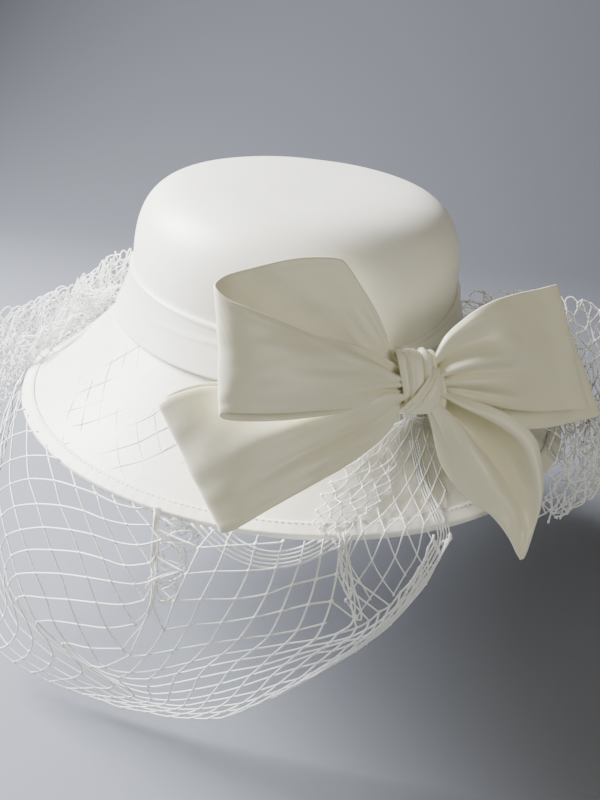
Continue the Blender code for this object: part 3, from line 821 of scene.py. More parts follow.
RIGHT_UNDER = [
    ((0.1, 0.1, -0.7), (0.1, 0.2, -0.1)),
    ((1.3, 0.3, -1.2), (1.2, 0.4, 0.3)),
    ((3.2, 0.7, -1.9), (2.9, 0.95, 1.0)),
    ((5.2, 1.05, -2.5), (4.8, 1.4, 1.8)),
    ((6.8, 1.25, -2.75), (6.4, 1.65, 2.3)),
    ((8.6, 1.45, -2.72), (7.7, 1.75, 2.75)),
    ((10.65, 1.6, -2.5), (8.6, 1.85, 2.8)),
    ((10.2, 1.95, -2.3), (8.3, 2.15, 2.5)),
    ((7.0, 1.9, -2.0), (6.2, 2.1, 1.6)),
    ((3.4, 1.2, -1.3), (3.2, 1.35, 0.6)),
    ((1.2, 0.55, -0.7), (1.2, 0.55, 0.0)),
]
RIGHT_UNDER_PLEATS = [
    (0.10, 0.10, 0.07, 0.0012, 0.090),
    (0.22, 0.20, 0.05, -0.0014, 0.100),
    (0.50, 0.50, 0.10, 0.0010, 0.050),
]
TAIL = [
    ((0.0, -0.3, -0.8), (0.5, -0.3, -0.3)),
    ((0.15, -0.5, -1.5), (1.3, -0.8, -0.55), (0.20, 0.05, -0.10)),
    ((0.15, -0.85, -2.3), (2.5, -1.2, -1.0), (0.35, -0.05, -0.40)),
    ((0.20, -1.2, -3.15), (3.6, -1.45, -1.6), (0.40, -0.10, -0.60)),
    ((0.55, -1.55, -3.95), (4.45, -1.65, -2.5), (0.35, 0.0, -0.55)),
    ((1.25, -1.8, -4.8), (4.75, -1.75, -3.9), (0.25, 0.10, -0.20)),
    ((2.15, -2.0, -5.55), (4.6, -1.9, -5.2), (0.12, 0.12, 0.0)),
    ((2.85, -2.1, -6.5), (4.15, -2.0, -6.4), (0.03, 0.05, 0.02)),
    ((3.25, -2.1, -7.3), (3.70, -2.1, -7.3)),
    ((3.40, -2.1, -7.55), (3.55, -2.1, -7.55)),
]
TAIL_PLEATS = [
    (0.90, 0.93, 0.07, 0.0046, 0.085),
    (0.66, 0.64, 0.14, -0.0085, 0.080),
    (0.34, 0.30, 0.10, 0.0030, 0.065),
    (0.12, 0.08, 0.03, -0.0007, 0.050),
]
KNOT_UPPER = [
    ((-1.20, 0.1, 1.15), (0.35, 0.1, 1.15)),
    ((-1.28, -0.25, 1.50), (0.42, -0.20, 1.42), 0.10),
    ((-1.30, -0.55, 1.25), (0.48, -0.45, 1.20), 0.18),
    ((-1.25, -0.62, 0.75), (0.50, -0.50, 0.70), 0.22),
    ((-1.18, -0.65, 0.20), (0.40, -0.55, 0.10), 0.22),
    ((-1.08, -0.60, -0.35), (0.20, -0.55, -0.45), 0.15),
    ((-0.98, -0.40, -0.75), (0.05, -0.40, -0.85), 0.05),
    ((-0.90, 0.1, -0.90), (0.0, 0.1, -0.95)),
]
KNOT_UPPER_PLEATS = [
    (0.16, 0.20, 0.045, -0.0010, 0.20),
    (0.26, 0.30, 0.05, 0.0006, 0.20),
    (0.60, 0.72, 0.045, -0.0013, 0.20),
    (0.70, 0.84, 0.05, 0.0008, 0.20),
    (0.88, 0.96, 0.04, -0.0008, 0.20),
]
KNOT_LOWER = [
    ((0.15, -0.05, 0.80), (0.62, -0.05, 0.70)),
    ((0.18, -0.60, 0.72), (0.66, -0.45, 0.50), 0.05),
    ((-0.12, -0.90, 0.32), (0.76, -0.60, 0.05), 0.10),
    ((-0.60, -0.95, -0.20), (0.82, -0.65, -0.45), 0.12),
    ((-1.05, -0.82, -0.66), (0.78, -0.62, -0.95), 0.10),
    ((-1.32, -0.50, -0.98), (0.66, -0.42, -1.25), 0.05),
    ((-1.30, 0.05, -1.05), (0.55, 0.05, -1.25)),
]
KNOT_LOWER_PLEATS = [
    (0.10, 0.08, 0.035, -0.0009, 0.20),
    (0.20, 0.17, 0.04, 0.0006, 0.20),
    (0.30, 0.26, 0.035, -0.0007, 0.20),
    (0.80, 0.78, 0.05, -0.0009, 0.20),
    (0.90, 0.88, 0.04, 0.0006, 0.20),
]


def bow_piece(name, stations, pleats, seed, *nodes):
    surface = pleated(ribbon_surface(stations, RIBBON_ROWS, RIBBON_COLUMNS), pleats, seed)
    return finish_piece(ribbon_shell(name, surface, bow_satin), "bow_satin", *nodes)


def ribbon_length(stations):
    """The length of a ribbon along its middle, before it was made up."""
    middle = ribbon_surface(stations, 120, 9)[:, 4]
    return float(np.linalg.norm(np.diff(middle, axis=0), axis=1).sum())


BOW_PIECES = [
    ("bow_ribbon_upper_left", UPPER_LEFT, UPPER_LEFT_PLEATS, 61, "bow_loop_upper_left"),
    ("bow_ribbon_lower_left", LOWER_LEFT, LOWER_LEFT_PLEATS, 62, "bow_loop_lower_left"),
    ("bow_ribbon_right", RIGHT, RIGHT_PLEATS, 63, "bow_loop_right"),
    ("bow_ribbon_right_under", RIGHT_UNDER, RIGHT_UNDER_PLEATS, 64, "bow_layer_right_under"),
    ("bow_ribbon_tail", TAIL, TAIL_PLEATS, 65, "bow_tail_right"),
]


def declare_ribbon(stations):
    length = ribbon_length(stations)


for name, stations, pleats, seed, cad_node in BOW_PIECES:
    piece = bow_piece(name, stations, pleats, seed, cad_node)
    declare_ribbon(stations)
knot_upper = bow_piece("bow_knot_wrap_upper", KNOT_UPPER, KNOT_UPPER_PLEATS, 66, "bow_knot")
knot_lower = bow_piece("bow_knot_wrap_lower", KNOT_LOWER, KNOT_LOWER_PLEATS, 67)
for wrap, stations in ((knot_upper, KNOT_UPPER), (knot_lower, KNOT_LOWER)):
    declare_ribbon(stations)


# ---------------------------------------------------------------- netting
STRAND_RADIUS = 0.00038
BRIM_STRAND_RADIUS = 0.00018
STRAND_SIDES = 5
SCALLOP_RISE = 0.0042
SCALLOP_SHOULDER = 0.0018
KNOT_REACH = 0.0014
KNOT_DEPTH = 0.0007


def net_material():
    mat, tree, shader = new_material("veil_thread")
    shader.inputs["Roughness"].default_value = 0.55
    shader.inputs["Sheen Weight"].default_value = 0.3
    shader.inputs["Subsurface Weight"].default_value = 0.15
    shader.inputs["Subsurface Radius"].default_value = (0.002, 0.002, 0.002)
    clouds = {"Scale": 55.0, "Detail": 4.0, "Roughness": 0.6}
    clouded(tree, shader, clouds, (0.84, 0.84, 0.83), (0.93, 0.93, 0.92))
    twist = node(tree, "ShaderNodeTexWave", {"Scale": 1.0, "Distortion": 2.0, "Detail": 2.0})
    twist.bands_direction = "DIAGONAL"
    wire(tree, coordinates(tree, (90, 90, 90), "Object"), "Vector", twist, "Vector")
    bump = node(tree, "ShaderNodeBump", {"Strength": 0.4, "Distance": 0.00008})
    wire(tree, twist, "Fac", bump, "Height")
    wire(tree, bump, "Normal", shader, "Normal")
    return mat


veil_thread = net_material()


def smooth_line(points, steps):
    """A strand through its knots, rounded at each one."""
    if len(points) < 3:
        t = np.linspace(0.0, 1.0, steps + 1)[:, None]
        return points[0] * (1 - t) + points[-1] * t
    ends = np.vstack([2 * points[0] - points[1], points, 2 * points[-1] - points[-2]])
    p0, p1, p2, p3 = ends[:-3, None], ends[1:-2, None], ends[2:-1, None], ends[3:, None]
    t = (np.arange(steps) / steps)[None, :, None]
    square = 2 * p0 - 5 * p1 + 4 * p2 - p3
    cube = 3 * p1 - p0 - 3 * p2 + p3
    curve = 0.5 * (2 * p1 + (p2 - p0) * t + square * t**2 + cube * t**3)
    return np.vstack([curve.reshape(-1, 3), points[-1:]])


def tube(line, radius):
    """Points and faces of a round closed strand along a line."""
    sides = STRAND_SIDES
    tangent = np.gradient(line, axis=0)
    tangent /= np.maximum(np.linalg.norm(tangent, axis=1, keepdims=True), 1e-12)
    side = np.zeros_like(line)
    last = np.cross(tangent[0], (0.3, 0.2, 1.0))
    for k, along in enumerate(tangent):
        last = last - along * (last @ along)
        last /= max(np.linalg.norm(last), 1e-9)
        side[k] = last
    up = np.cross(tangent, side)
    turn = np.linspace(0.0, 2 * math.pi, sides, endpoint=False)
    ring = side[:, None] * np.cos(turn)[None, :, None] + up[:, None] * np.sin(turn)[None, :, None]
    points = (line[:, None] + ring * radius).reshape(-1, 3)
    n = len(line)
    k, s = np.meshgrid(np.arange(n - 1), np.arange(sides), indexing="ij")
    a, b = k * sides + s, k * sides + (s + 1) % sides
    quads = np.stack([a, b, b + sides, a + sides], axis=-1).reshape(-1, 4)
    caps = [tuple(range(sides))[::-1], tuple((n - 1) * sides + j for j in range(sides))]
    return points, [tuple(q) for q in quads.tolist()] + caps


def knot_blob(centre, first, second, scale):
    """A small flat diamond of thread where two strands cross."""
    first = first / max(np.linalg.norm(first), 1e-9)
    second = second / max(np.linalg.norm(second), 1e-9)
    normal = np.cross(first, second)
    size = np.linalg.norm(normal)
    if size < 0.15:
        return None
    normal /= size
    reach, depth = KNOT_REACH * scale, KNOT_DEPTH * scale
    points = [centre + reach * first, centre + reach * second, centre - reach * first]
    points += [centre - reach * second, centre + depth * normal, centre - depth * normal]
    faces = [(0, 1, 4), (1, 2, 4), (2, 3, 4), (3, 0, 4), (1, 0, 5), (2, 1, 5), (3, 2, 5), (0, 3, 5)]
    return points, faces


def net_mesh(name, knots, families, extra=(), radius=STRAND_RADIUS):
    """Builds netting from knots and the two families of strands that pass through them."""
    parts = []
    heading = [{}, {}]
    for family, lines in enumerate(families):
        for line in lines:
            if len(line) < 2:
                continue
            places = knots[line]
            parts.append(tube(smooth_line(places, 4), radius))
            slope = np.gradient(places, axis=0)
            for k, index in enumerate(line):
                heading[family][index] = slope[k]
    for index, along in heading[0].items():
        if index in heading[1]:
            blob = knot_blob(knots[index], along, heading[1][index], radius / STRAND_RADIUS)
            if blob:
                parts.append(blob)
    for line in extra:
        parts.append(tube(smooth_line(np.asarray(line), 4), radius))
    return add_mesh(name, *joined(parts), veil_thread)


def on_brim(share, azimuth, lift):
    """One point of the brim, at an azimuth in degrees."""
    return brim_surface(share, math.radians(azimuth), lift)


def rim_point(azimuth, out, drop):
    """A point out from the edge of the brim and below it, at an azimuth in degrees."""
    angle = math.radians(azimuth)
    point = oval(BRIM_OUTER[0] + out, BRIM_OUTER[1] + out, BRIM_OUTER[2] - drop, angle)
    return offset_brim(point, 1.0, angle)


def diamond_net(name, surface, cells, seed, jitter, scallops, clipped=False, radius=STRAND_RADIUS, extra=()):
    """Diamond netting over surface(u, v), u and v from 0 to 1.

    cells are its counts along u and v. scallops gives it a looped edge along v = 0. A clipped net's
    surface also says whether the place is part of it.
    """
    count_u, count_v = cells
    rng = np.random.default_rng(seed)
    index, knots = {}, []
    for j in range(count_v + 1):
        for i in range(count_u + 1):
            u = (i + 0.5 * (j % 2)) / (count_u + 0.5)
            place = surface(u, j / count_v)
            if clipped:
                place, kept = place
                if not kept:
                    continue
            index[i, j] = len(knots)
            knots.append(np.asarray(place) + rng.normal(0, jitter, 3))
    knots = np.array(knots)
    families = [[], []]
    for family, step in enumerate((1, -1)):
        begun = [(i, 0) for i in range(count_u + 1)]
        edge = 0 if step == 1 else count_u
        begun += [(edge, j) for j in range(1, count_v + 1)]
        seen = set()
        for i, j in begun:
            line = []
            while 0 <= i <= count_u and j <= count_v and (i, j) not in seen:
                seen.add((i, j))
                if (i, j) in index:
                    line.append(index[i, j])
                elif line:
                    families[family].append(line)
                    line = []
                i, j = i + (j % 2) - (step == -1), j + 1
            families[family].append(line)
    loops = list(extra)
    if scallops:
        for i in range(count_u):
            a, b = knots[index[i, 0]], knots[index[i + 1, 0]]
            below = knots[index[i, 1]]
            rise = (a + b) / 2 - below
            rise /= max(np.linalg.norm(rise), 1e-9)
            top = (a + b) / 2 + rise * SCALLOP_RISE
            shoulders = [end * 0.8 + top * 0.2 + rise * SCALLOP_SHOULDER for end in (a, b)]
            loops.append([a, shoulders[0], top, shoulders[1], b])
    return net_mesh(name, knots, families, loops, radius)


# The veil hangs in two lobes from the edge of the brim. Some of its knots, by row and column of the
# netting, with their places x, y and z in centimetres. These numbers were not designed here: a scratch
# program made most of them, from points read off the photograph. report.md lists this as an open breach
# of the rules, with the bow's edges above and the ruffles and puffs below.
HANGING_KNOTS = [
    (-12, -3, -13.4, 3.9, -4.2), (-8, -1, -13.9, -0.3, -4.1), (-4, 1, -13.3, -4.5, -4.0),
    (-10, -6, -15.0, 2.6, -6.8), (-5, -6, -15.6, -2.0, -10.2), (0, -6, -15.0, -7.0, -13.2),
    (4, -6, -13.2, -10.4, -15.5), (7, -6, -10.4, -11.4, -16.3), (10, -6, -7.9, -11.9, -16.8),
    (14, -6, -3.3, -13.0, -16.4), (17, -6, -0.9, -13.5, -15.2), (19, -6, 0.9, -13.9, -13.4),
    (21, -6, 2.9, -14.4, -11.0), (23, -6, 4.4, -14.7, -9.2), (25, -6, 6.0, -14.7, -6.6),
    (27, -6, 6.8, -13.9, -4.5),
    (0, 1, -12.6, -8.8, -6.7), (3, 1, -11.2, -11.1, -8.7), (5, 1, -10.2, -12.0, -10.6),
    (7, 1, -9.2, -12.3, -12.9),
    (0, 3, -9.7, -11.3, -4.7), (2, 3, -8.6, -13.0, -6.0), (4, 3, -7.7, -14.0, -7.6),
    (6, 3, -6.8, -14.5, -9.8),
    (0, 5, -7.5, -12.9, -4.2), (2, 5, -6.5, -14.1, -5.6), (4, 5, -5.5, -15.0, -7.0),
    (6, 4, -5.5, -15.1, -9.0),
    (0, 7, -5.7, -13.8, -4.1), (2, 7, -4.5, -14.7, -4.9), (3, 6, -4.9, -15.0, -5.9),
    (7, 3, -6.2, -14.2, -11.2),
    (8, 2, -7.2, -13.5, -13.0), (9, 2, -5.9, -14.2, -12.6), (5, -1, -11.8, -11.2, -11.6),
    (6, 0, -10.7, -11.9, -12.2),
    (9, 3, -5.0, -14.9, -10.8), (9, 5, -3.8, -15.7, -7.1), (9, 7, -2.9, -15.1, -4.8),
    (11, 3, -2.3, -16.1, -8.8),
    (11, 5, -1.3, -16.0, -6.5), (11, 6, -0.9, -15.7, -5.3), (13, 3, 0.1, -16.4, -7.8),
    (13, 5, 0.9, -15.9, -5.7),
    (13, 6, 1.1, -15.6, -4.8), (15, 3, 2.2, -16.2, -7.2), (15, 5, 2.6, -15.6, -5.2),
    (15, 6, 2.6, -15.1, -4.2),
    (12, 1, -2.4, -15.5, -10.6), (13, -2, -2.2, -14.5, -13.2), (13, -4, -2.8, -13.7, -15.0),
    (16, -1, 2.1, -15.4, -9.6),
    (8, -2, -6.9, -13.0, -14.6), (4, -3, -12.0, -10.8, -13.4), (1, -2, -13.6, -8.8, -10.2),
    (17, 2, 3.6, -16.0, -7.5), (20, 2, 4.8, -15.7, -6.4), (23, 2, 5.9, -14.9, -5.2),
    (26, 2, 6.5, -14.0, -4.2),
]
HANG_ROWS, HANG_COLUMNS = range(-12, 28), range(-6, 9)
# How freely the surface may leave the knots of the table, so that it stays smooth.
SURFACE_SLACK = 0.05
RIM_HEIGHT = 0.0402
# The two places where the edge of the veil is bunched, from the rim down.
BUNCHES = {
    "left": ((-4.8, -13.9, -3.9), (-4.7, -15.4, -7.7)),
    "right": ((2.7, -14.8, -3.9), (3.5, -16.0, -7.3)),
}
BRIM_LENGTH = 0.069
NET_ROW = 0.0076
# The veil is gathered on the brim beneath the knot: how far each strand is drawn to it.
GATHER_AZIMUTH = 33.0
GATHER_SHARE = 0.12
GATHER_STRANDS = 20


def hanging_surface():
    """A smooth map from netting row and column to a place, close to the knots of the table."""
    table = np.array(HANGING_KNOTS, dtype=float)
    at, places = table[:, :2], table[:, 2:] * 0.01

    def bend(a, b):
        gap = np.linalg.norm(a[:, None] - b[None], axis=2)
        return gap**2 * np.log(np.maximum(gap, 1e-9))

    count = len(at)
    flat = np.hstack([np.ones((count, 1)), at])
    system = np.zeros((count + 3, count + 3))
    system[:count, :count] = bend(at, at) + SURFACE_SLACK * np.eye(count)
    system[:count, count:], system[count:, :count] = flat, flat.T
    weights = np.linalg.solve(system, np.vstack([places, np.zeros((3, 3))]))

    def surface(row, column):
        where = np.stack(np.broadcast_arrays(row, column), axis=-1).reshape(-1, 2).astype(float)
        level = np.hstack([np.ones((len(where), 1)), where])
        return bend(where, at) @ weights[:count] + level @ weights[count:]

    return surface


def in_bunch(row, column):
    """Whether a knot is drawn into one of the two bunches and so has no place of its own."""
    left = 4 <= column and 13 - 2 * column + 1 < row < 9
    return left and row > {4: 6, 5: 5, 6: 4, 7: 2, 8: 0}[column] or (column >= 3 and row > 15)


def hanging_net():
    rng = np.random.default_rng(71)
    surface = hanging_surface()
    index, knots = {}, []
    for row in HANG_ROWS:
        for column in HANG_COLUMNS:
            place = surface(row, column)[0]
            if place[2] > -RIM_HEIGHT or in_bunch(row, column):
                continue
            index[row, column] = len(knots)
            knots.append(place + rng.normal(0, 0.00025, 3))
    knots = np.array(knots)
    extra = []

    def to_rim(row, column, step):
        """A strand's last short run, from its first knot up to the rim."""
        t = np.linspace(0.0, 1.0, 9)
        run = surface(row + step[0] * t, column + step[1] * t)
        below = run[:, 2] < -RIM_HEIGHT
        if below.all() or not below.any():
            return
        last = int(np.argmin(below))
        extra.append(np.vstack([knots[index[row, column]], run[1 : last + 1]]))

    def drawn(start, name, up):
        """A strand drawn from the netting into a bunch and up to the rim."""
        top, low = (np.array(p) * 0.01 for p in BUNCHES[name])
        wide = 0.0008 if name == "left" else 0.0016
        loose = rng.normal(0, wide, (3, 3)) * (1.0, 0.4, 1.0)
        line = [start, low + (top - low) * up, low + (top - low) * (0.5 + up / 2), top]
        extra.append(np.array(line) + np.vstack([np.zeros(3), loose]))

    families = [[], []]
    orders = ((HANG_ROWS, HANG_COLUMNS), (HANG_COLUMNS, HANG_ROWS))
    for family, (first, second) in enumerate(orders):
        for a in first:
            line = []
            for b in second:
                key = (a, b) if family == 0 else (b, a)
                if key in index:
                    line.append(index[key])
                elif line:
                    families[family].append(line)
                    line = []
            families[family].append(line)
    for (row, column), k in index.items():
        for step in ((-1, 0), (0, 1)):
            near = (row + step[0], column + step[1])
            if near not in index and not in_bunch(*near) and near[0] in HANG_ROWS:
                to_rim(row, column, step)
    for row in range(1, 9):
        column = max((c for c in HANG_COLUMNS if (row, c) in index and c < 8), default=None)
        if column is not None:
            up = max(0.0, (column - 4) / 4)
            drawn(knots[index[row, column]], "left", up)
    for column in (4, 5, 6, 7):
        for row, side in ((9, "left"), (15, "right")):
            if (row, column) in index:
                drawn(knots[index[row, column]], side, 0.25 * (column - 4) + 0.05)
    for row in range(16, 21):
        if (row, 2) in index:
            drawn(knots[index[row, 2]], "right", 0.12 * (row - 15))
    return net_mesh("veil_front_net", knots, families, extra)


def brim_net():
    """The part of the veil that lies on the brim, gathered towards the knot."""
    rng = np.random.default_rng(73)
    starts = np.concatenate([np.arange(-101.0, -14.0, 3.1), np.arange(-12.5, 10.0, 2.3)])
    rows = range(10)

    def place(start, row):
        pull = float(smoothstep(-12, 14, start))
        swing = 10.0 * (1 - pull) * float(smoothstep(-30, -90, start))
        target = start + (GATHER_AZIMUTH - start) * pull - swing
        inward = min(row * NET_ROW / BRIM_LENGTH, 0.965)
        share = 1.0 - inward * (1 - GATHER_SHARE * pull)
        azimuth = start + (target - start) * inward**1.5
        lift = 0.0008 + 0.0002 * math.sin(math.pi * share) ** 2
        return on_brim(share, azimuth, lift)

    index, knots = {}, []
    for p, start in enumerate(starts):
        for q in rows:
            if (p + q) % 2 == 0:
                index[p, q] = len(knots)
                knots.append(place(start + rng.normal(0, 0.12) * (q > 0), q) + rng.normal(0, 0.0002, 3))
    families = [[], []]
    for family, step in enumerate((1, -1)):
        for p in range(-len(rows), len(starts) + len(rows)):
            line = [index[p + step * q, q] for q in rows if (p + step * q, q) in index]
            families[family].append(line)
    return net_mesh("veil_brim_net", np.array(knots), families, radius=BRIM_STRAND_RADIUS)


def pinch_fan():
    """Netting drawn over the brim from the knot to the right bunch, in small slack cells."""

    def surface(u, v):
        middle = 7.5 + 16.0 * v**1.4
        half = 2.2 + 4.2 * math.sin(math.pi * min(v * 0.8, 1.0))
        lift = 0.0019 + 0.0012 * math.sin(9 * u + 5 * v) ** 2
        return on_brim(1.0 - 0.66 * v, middle + half * (2 * u - 1), lift)

    return diamond_net("veil_pinch_fan", surface, (4, 13), 82, 0.0005, False, radius=0.00027)


def right_lobe():
    """Tall diamonds from beneath the knot, over the rim and down to the end of the veil."""
    depth_at = [(9, 0.041), (14, 0.034), (19, 0.025), (24, 0.014), (28, 0.003)]
    fan_run, hang_run = 0.058, 0.040

    def surface(u, v):
        azimuth = 10.0 + 17.0 * u
        fall = hang_run - (hang_run + fan_run) * v
        if fall > 0:
            out = 0.0032 + 0.009 * math.sin(min(1.0, fall / 0.05) * math.pi / 2)
            return rim_point(azimuth, out, fall), fall <= lookup(depth_at, azimuth)
        inward = -fall / BRIM_LENGTH
        spread = (azimuth - GATHER_AZIMUTH) * (1 - inward / 0.88) ** 0.7 + 14.0 * u * inward
        lift = 0.0018 + 0.0012 * float(smoothstep(0.3, 0.0, inward))
        return on_brim(1.0 - inward, GATHER_AZIMUTH + spread, lift), True

    edge = []
    for k in range(5):
        azimuth = 25.4 + 0.55 * k
        line = [rim_point(azimuth, 0.0035, 0.0070), rim_point(azimuth, 0.0030, 0.0010)]
        for share, turned in ((0.95, 0.3), (0.65, 1.6), (0.36, 4.0)):
            line.append(on_brim(share, azimuth + turned, 0.0018))
        edge.append(line)
    return diamond_net("veil_right_lobe", surface, (4, 12), 74, 0.0003, False, True, 0.00029, edge)


def curtain(top, bottom, bulge, folds, depth):
    """A surface hanging between two edges given in centimetres, with soft folds along it."""
    upper = curve_rows(top, 60) * 0.01
    lower = curve_rows(bottom, 60) * 0.01
    places = np.linspace(0.0, 1.0, 60)
    lean = np.array((0.0, 1.0, 0.0))

    def surface(u, v):
        u, v = min(max(u, 0.0), 1.0), min(max(v, 0.0), 1.0)
        a = np.array([np.interp(u, places, upper[:, k]) for k in range(3)])
        b = np.array([np.interp(u, places, lower[:, k]) for k in range(3)])
        point = a + (b - a) * v
        out = np.array((point[0], point[1] * 0.8, 0.0))
        out /= max(np.linalg.norm(out), 1e-9)
        wave = math.sin(folds * 2 * math.pi * u + 2.1 * v) * (0.35 + 0.65 * v)
        wave += 0.4 * math.sin(folds * 5.3 * u + 5.0 * v + 1.0)
        return point + out * bulge * math.sin(math.pi * v) + (out * 0.5 + lean * 0.8) * depth * wave

    return surface


def pinch_loops():
    """Slack rounds of netting beside the left bunch, and the festoons that hang next to them."""
    rng = np.random.default_rng(72)
    top, low = (np.array(p) * 0.01 for p in BUNCHES["left"])
    turn = np.linspace(0.0, 2 * math.pi, 15)
    lines = []
    for k in range(15):
        down = (k % 5 + rng.uniform(0.1, 0.9)) / 5
        aside = 0.0035 + rng.uniform(0.0, 0.012) * (1 - 0.7 * down)
        centre = top + (low - top) * down * 0.85 + (aside, 0.001, -0.003)
        wide, tall = rng.uniform(0.0042, 0.0068, 2)
        lean = rng.uniform(-0.8, 0.8)
        along, up = wide * np.cos(turn), tall * np.sin(turn)
        x = along * math.cos(lean) - up * math.sin(lean)
        y = 0.004 * rng.normal() * np.cos(turn + k) - 0.001
        z = along * math.sin(lean) + up * math.cos(lean)
        uneven = 1 + 0.08 * rng.normal(size=(len(turn), 1)) * (turn[:, None] < 6)
        lines.append(centre + np.stack([x, y, z], axis=1) * uneven)
    for k in range(5):
        u = np.linspace(0.0, 1.0, 9)
        azimuth = (-15 + 1.5 * k) + (24 - 2.6 * k) * u
        sag = (0.0120 - 0.0020 * k) * np.sin(math.pi * u) ** 0.8
        out = 0.003 + 0.004 * np.sin(math.pi * u)
        lines.append(np.array([rim_point(*at) for at in zip(azimuth, out, -0.001 + sag)]))
    return net_mesh("veil_front_pinch", None, ([], []), lines)


def net_piece(obj, *nodes):
    return finish_piece(obj, "netting", *nodes)


front = net_piece(hanging_net(), "veil_front")
over_brim = net_piece(brim_net())
fan = net_piece(pinch_fan())
right_hang = net_piece(right_lobe())
pinch = net_piece(pinch_loops())

# The top and bottom edges of the nets at the sides, in centimetres. The edges that the photograph shows
# were set close to places that a scratch program worked out in the same way.
SIDE_EDGES = {
    "ruffle_front": (
        [(-9.5, 2.0, -0.3), (-11.4, 2.0, -0.8), (-12.8, 2.1, -1.0), (-14.4, 2.0, -1.8), (-16.6, 1.6, -2.7)],
        [(-10.2, 2.6, -2.0), (-12.0, 3.0, -3.2), (-13.9, 3.2, -4.6), (-15.4, 3.0, -6.5), (-16.7, 2.4, -8.0)],
    ),
    "ruffle_side": (
        [
            (-11.4, 0.4, -1.6), (-12.6, -0.2, -2.0), (-13.8, -0.6, -2.6),
            (-14.9, -0.9, -3.1), (-16.2, -1.2, -3.6),
        ],
        [
            (-12.2, 0.2, -2.8), (-13.6, -0.4, -3.7), (-14.7, -1.0, -5.4),
            (-15.6, -1.5, -7.2), (-16.6, -2.0, -8.6),
        ],
    ),
    "ruffle_back": (
        [(-9.4, 5.6, 0.4), (-10.6, 6.0, 0.0), (-11.9, 6.0, -0.8), (-13.4, 5.6, -2.3)],
        [(-10.0, 6.6, -2.2), (-11.6, 6.9, -3.0), (-13.1, 6.8, -4.2), (-14.7, 6.3, -5.6)],
    ),
    "ruffle_outer": (
        [(-15.9, -1.0, -3.3), (-15.5, 0.6, -2.8), (-15.0, 2.2, -2.4), (-14.3, 4.0, -2.1), (-13.2, 5.6, -2.2)],
        [(-16.1, -1.6, -7.6), (-15.9, 0.8, -7.2), (-15.5, 2.8, -6.6), (-15.0, 4.8, -5.8), (-14.2, 6.4, -5.2)],
    ),
    "ruffle_middle": (
        [(-12.6, -0.5, -2.0), (-12.4, 1.2, -1.3), (-12.2, 3.0, -1.0), (-11.8, 5.6, -0.8)],
        [(-13.2, -0.8, -4.6), (-13.0, 1.4, -4.3), (-12.8, 3.4, -4.0), (-12.4, 6.2, -3.6)],
    ),
    "puff_top": (
        [
            (8.9, 0.6, 0.9), (10.4, 0.2, 1.2), (12.4, -0.6, 1.7),
            (14.4, -1.2, 1.9), (15.8, -1.6, 1.6), (16.8, -2.0, 0.9),
        ],
        [
            (9.6, -0.4, -0.6), (11.4, -1.2, -1.4), (13.4, -2.6, -3.0),
            (15.4, -4.0, -5.4), (16.4, -4.4, -6.6), (17.0, -4.4, -6.8),
        ],
    ),
    "puff_front": (
        [(12.8, -5.2, -1.6), (14.3, -5.0, -1.9), (15.6, -4.2, -2.0), (16.6, -3.2, -2.2)],
        [(12.6, -8.6, -6.2), (13.8, -7.8, -6.6), (15.2, -6.8, -6.3), (16.4, -5.2, -5.7)],
    ),
}
# Each net: its name, its edges, the bulge, count and depth of its folds, its cells along and down, its
# random seed, the unevenness of its knots, and whether its upper edge is looped.
RUFFLES = [
    ("veil_ruffle_front", "ruffle_front", (0.004, 4, 0.0055), (13, 11), 73, 0.0005, True),
    ("veil_ruffle_inner", "ruffle_front", (-0.003, 3, -0.0070), (12, 10), 74, 0.001, False),
    ("veil_ruffle_side", "ruffle_side", (0.003, 4, 0.0060), (10, 11), 75, 0.0005, True),
    ("veil_ruffle_back", "ruffle_back", (0.002, 3, 0.0055), (11, 8), 76, 0.0005, True),
    ("veil_ruffle_back_inner", "ruffle_back", (-0.003, 2, -0.0060), (10, 8), 77, 0.001, False),
    ("veil_ruffle_outer", "ruffle_outer", (0.003, 3, 0.0045), (8, 8), 83, 0.0008, True),
    ("veil_ruffle_middle", "ruffle_middle", (0.003, 3, 0.0040), (7, 6), 84, 0.0008, False),
]
PUFFS = [
    ("veil_puff_top", "puff_top", (0.006, 3, 0.004), (13, 14), 78, 0.0013, True),
    ("veil_puff_inner", "puff_top", (-0.003, 4, -0.005), (11, 12), 79, 0.0014, False),
    ("veil_puff_front", "puff_front", (0.008, 3, 0.004), (10, 12), 80, 0.0015, False),
    ("veil_puff_fold", "puff_front", (0.002, 4, -0.005), (8, 10), 81, 0.0016, False),
]


for group, node_name in ((RUFFLES, "veil_left_ruffle"), (PUFFS, "veil_right_puff")):
    for k, (name, edges, folds, cells, seed, jitter, scallops) in enumerate(group):
        surface = curtain(*SIDE_EDGES[edges], *folds)
        nodes = (node_name,) if k == 0 else ()
        piece = net_piece(diamond_net(name, surface, cells, seed, jitter, scallops), *nodes)


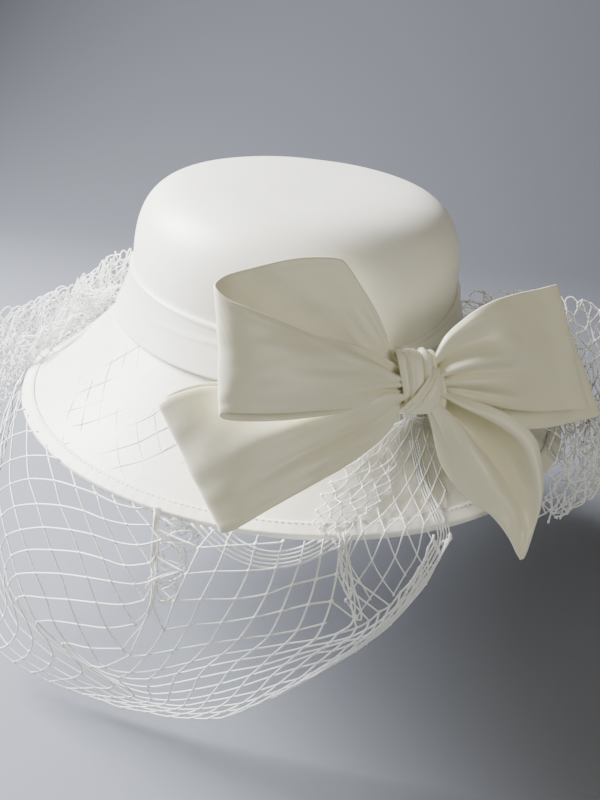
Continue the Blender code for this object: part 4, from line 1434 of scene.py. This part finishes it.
# ---------------------------------------------------------------- veil gather under the knot
def gather_threads():
    """Strands of the veil drawn together and bound with thread beneath the knot."""
    rng = np.random.default_rng(91)
    parts = []
    centre = np.array((-0.006, -0.0012, -0.0148))
    for k in range(GATHER_STRANDS):
        side = -1 + 2 * (k + 0.5) / GATHER_STRANDS
        deep = rng.uniform(-1, 1)
        top = centre + (0.0040 * side, 0.0020 * deep, 0.0055)
        waist = centre + (0.0030 * side, 0.0014 * deep, 0.0010)
        share = 0.30 + rng.normal(0, 0.015)
        azimuth = GATHER_AZIMUTH - 2 + 13.0 * side + rng.normal(0, 1.0)
        foot = on_brim(share, azimuth, 0.0016)
        further = on_brim(share + 0.16, azimuth + 4.0 * side, 0.0016)
        strand = np.vstack([on_bow([top, waist]), foot, further])
        parts.append(tube(smooth_line(strand, 5), BRIM_STRAND_RADIUS))
    turns = np.linspace(0.0, 4 * 2 * math.pi, 60)
    rise = 0.0014 + 0.0014 * turns / turns[-1]
    wrap = np.stack([0.0030 * np.cos(turns), 0.0018 * np.sin(turns), rise], axis=1)
    parts.append(tube(on_bow(wrap + centre), 0.0002))
    return add_mesh("veil_gather_threads", *joined(parts), veil_thread)


gather = net_piece(gather_threads(), "veil_gather")


# ---------------------------------------------------------------- CAD nodes that stay
def buckram_material():
    """Stiffened open-weave foundation cloth: crossed threads, sized and slightly uneven."""
    mat, tree, shader = new_material("buckram")
    shader.inputs["Roughness"].default_value = 0.82
    clouded(tree, shader, {"Scale": 30.0, "Detail": 4.0}, (0.66, 0.63, 0.53), (0.76, 0.73, 0.63))
    last = None
    for direction in ("X", "Z"):
        threads = node(tree, "ShaderNodeTexWave", {"Scale": 50.0, "Distortion": 0.6, "Detail": 1.0})
        threads.bands_direction = direction
        wire(tree, coordinates(tree, (1, 1, 1), "Object"), "Vector", threads, "Vector")
        bump = node(tree, "ShaderNodeBump", {"Strength": 0.6, "Distance": 0.0002})
        wire(tree, threads, "Fac", bump, "Height")
        if last:
            wire(tree, last, "Normal", bump, "Normal")
        last = bump
    wire(tree, last, "Normal", shader, "Normal")
    return mat


def steel_material():
    """Drawn millinery wire, faintly brushed along its length."""
    mat, tree, shader = new_material("wire_steel")
    shader.inputs["Metallic"].default_value = 1.0
    grain = node(tree, "ShaderNodeTexNoise", {"Scale": 400.0, "Detail": 3.0})
    wire(tree, coordinates(tree, (1, 1, 0.2), "Object"), "Vector", grain, "Vector")
    tint(tree, shader, grain, "Fac", (0.42, 0.42, 0.43), (0.58, 0.58, 0.60))
    gloss = node(tree, "ShaderNodeMapRange", {"To Min": 0.30, "To Max": 0.50})
    wire(tree, grain, "Fac", gloss, "Value")
    wire(tree, gloss, "Result", shader, "Roughness")
    return mat


def dress_cad_nodes():
    buckram = buckram_material()
    steel = steel_material()
    looks = {
        "crown_foundation": buckram, "brim_foundation": buckram, "bow_backing_patch": buckram,
        "brim_edge_wire": steel, "bow_tack_1": thread_mat, "bow_tack_2": thread_mat,
    }
    for name, mat in looks.items():
        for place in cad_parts[name].material_slots:
            place.material = mat


dress_cad_nodes()
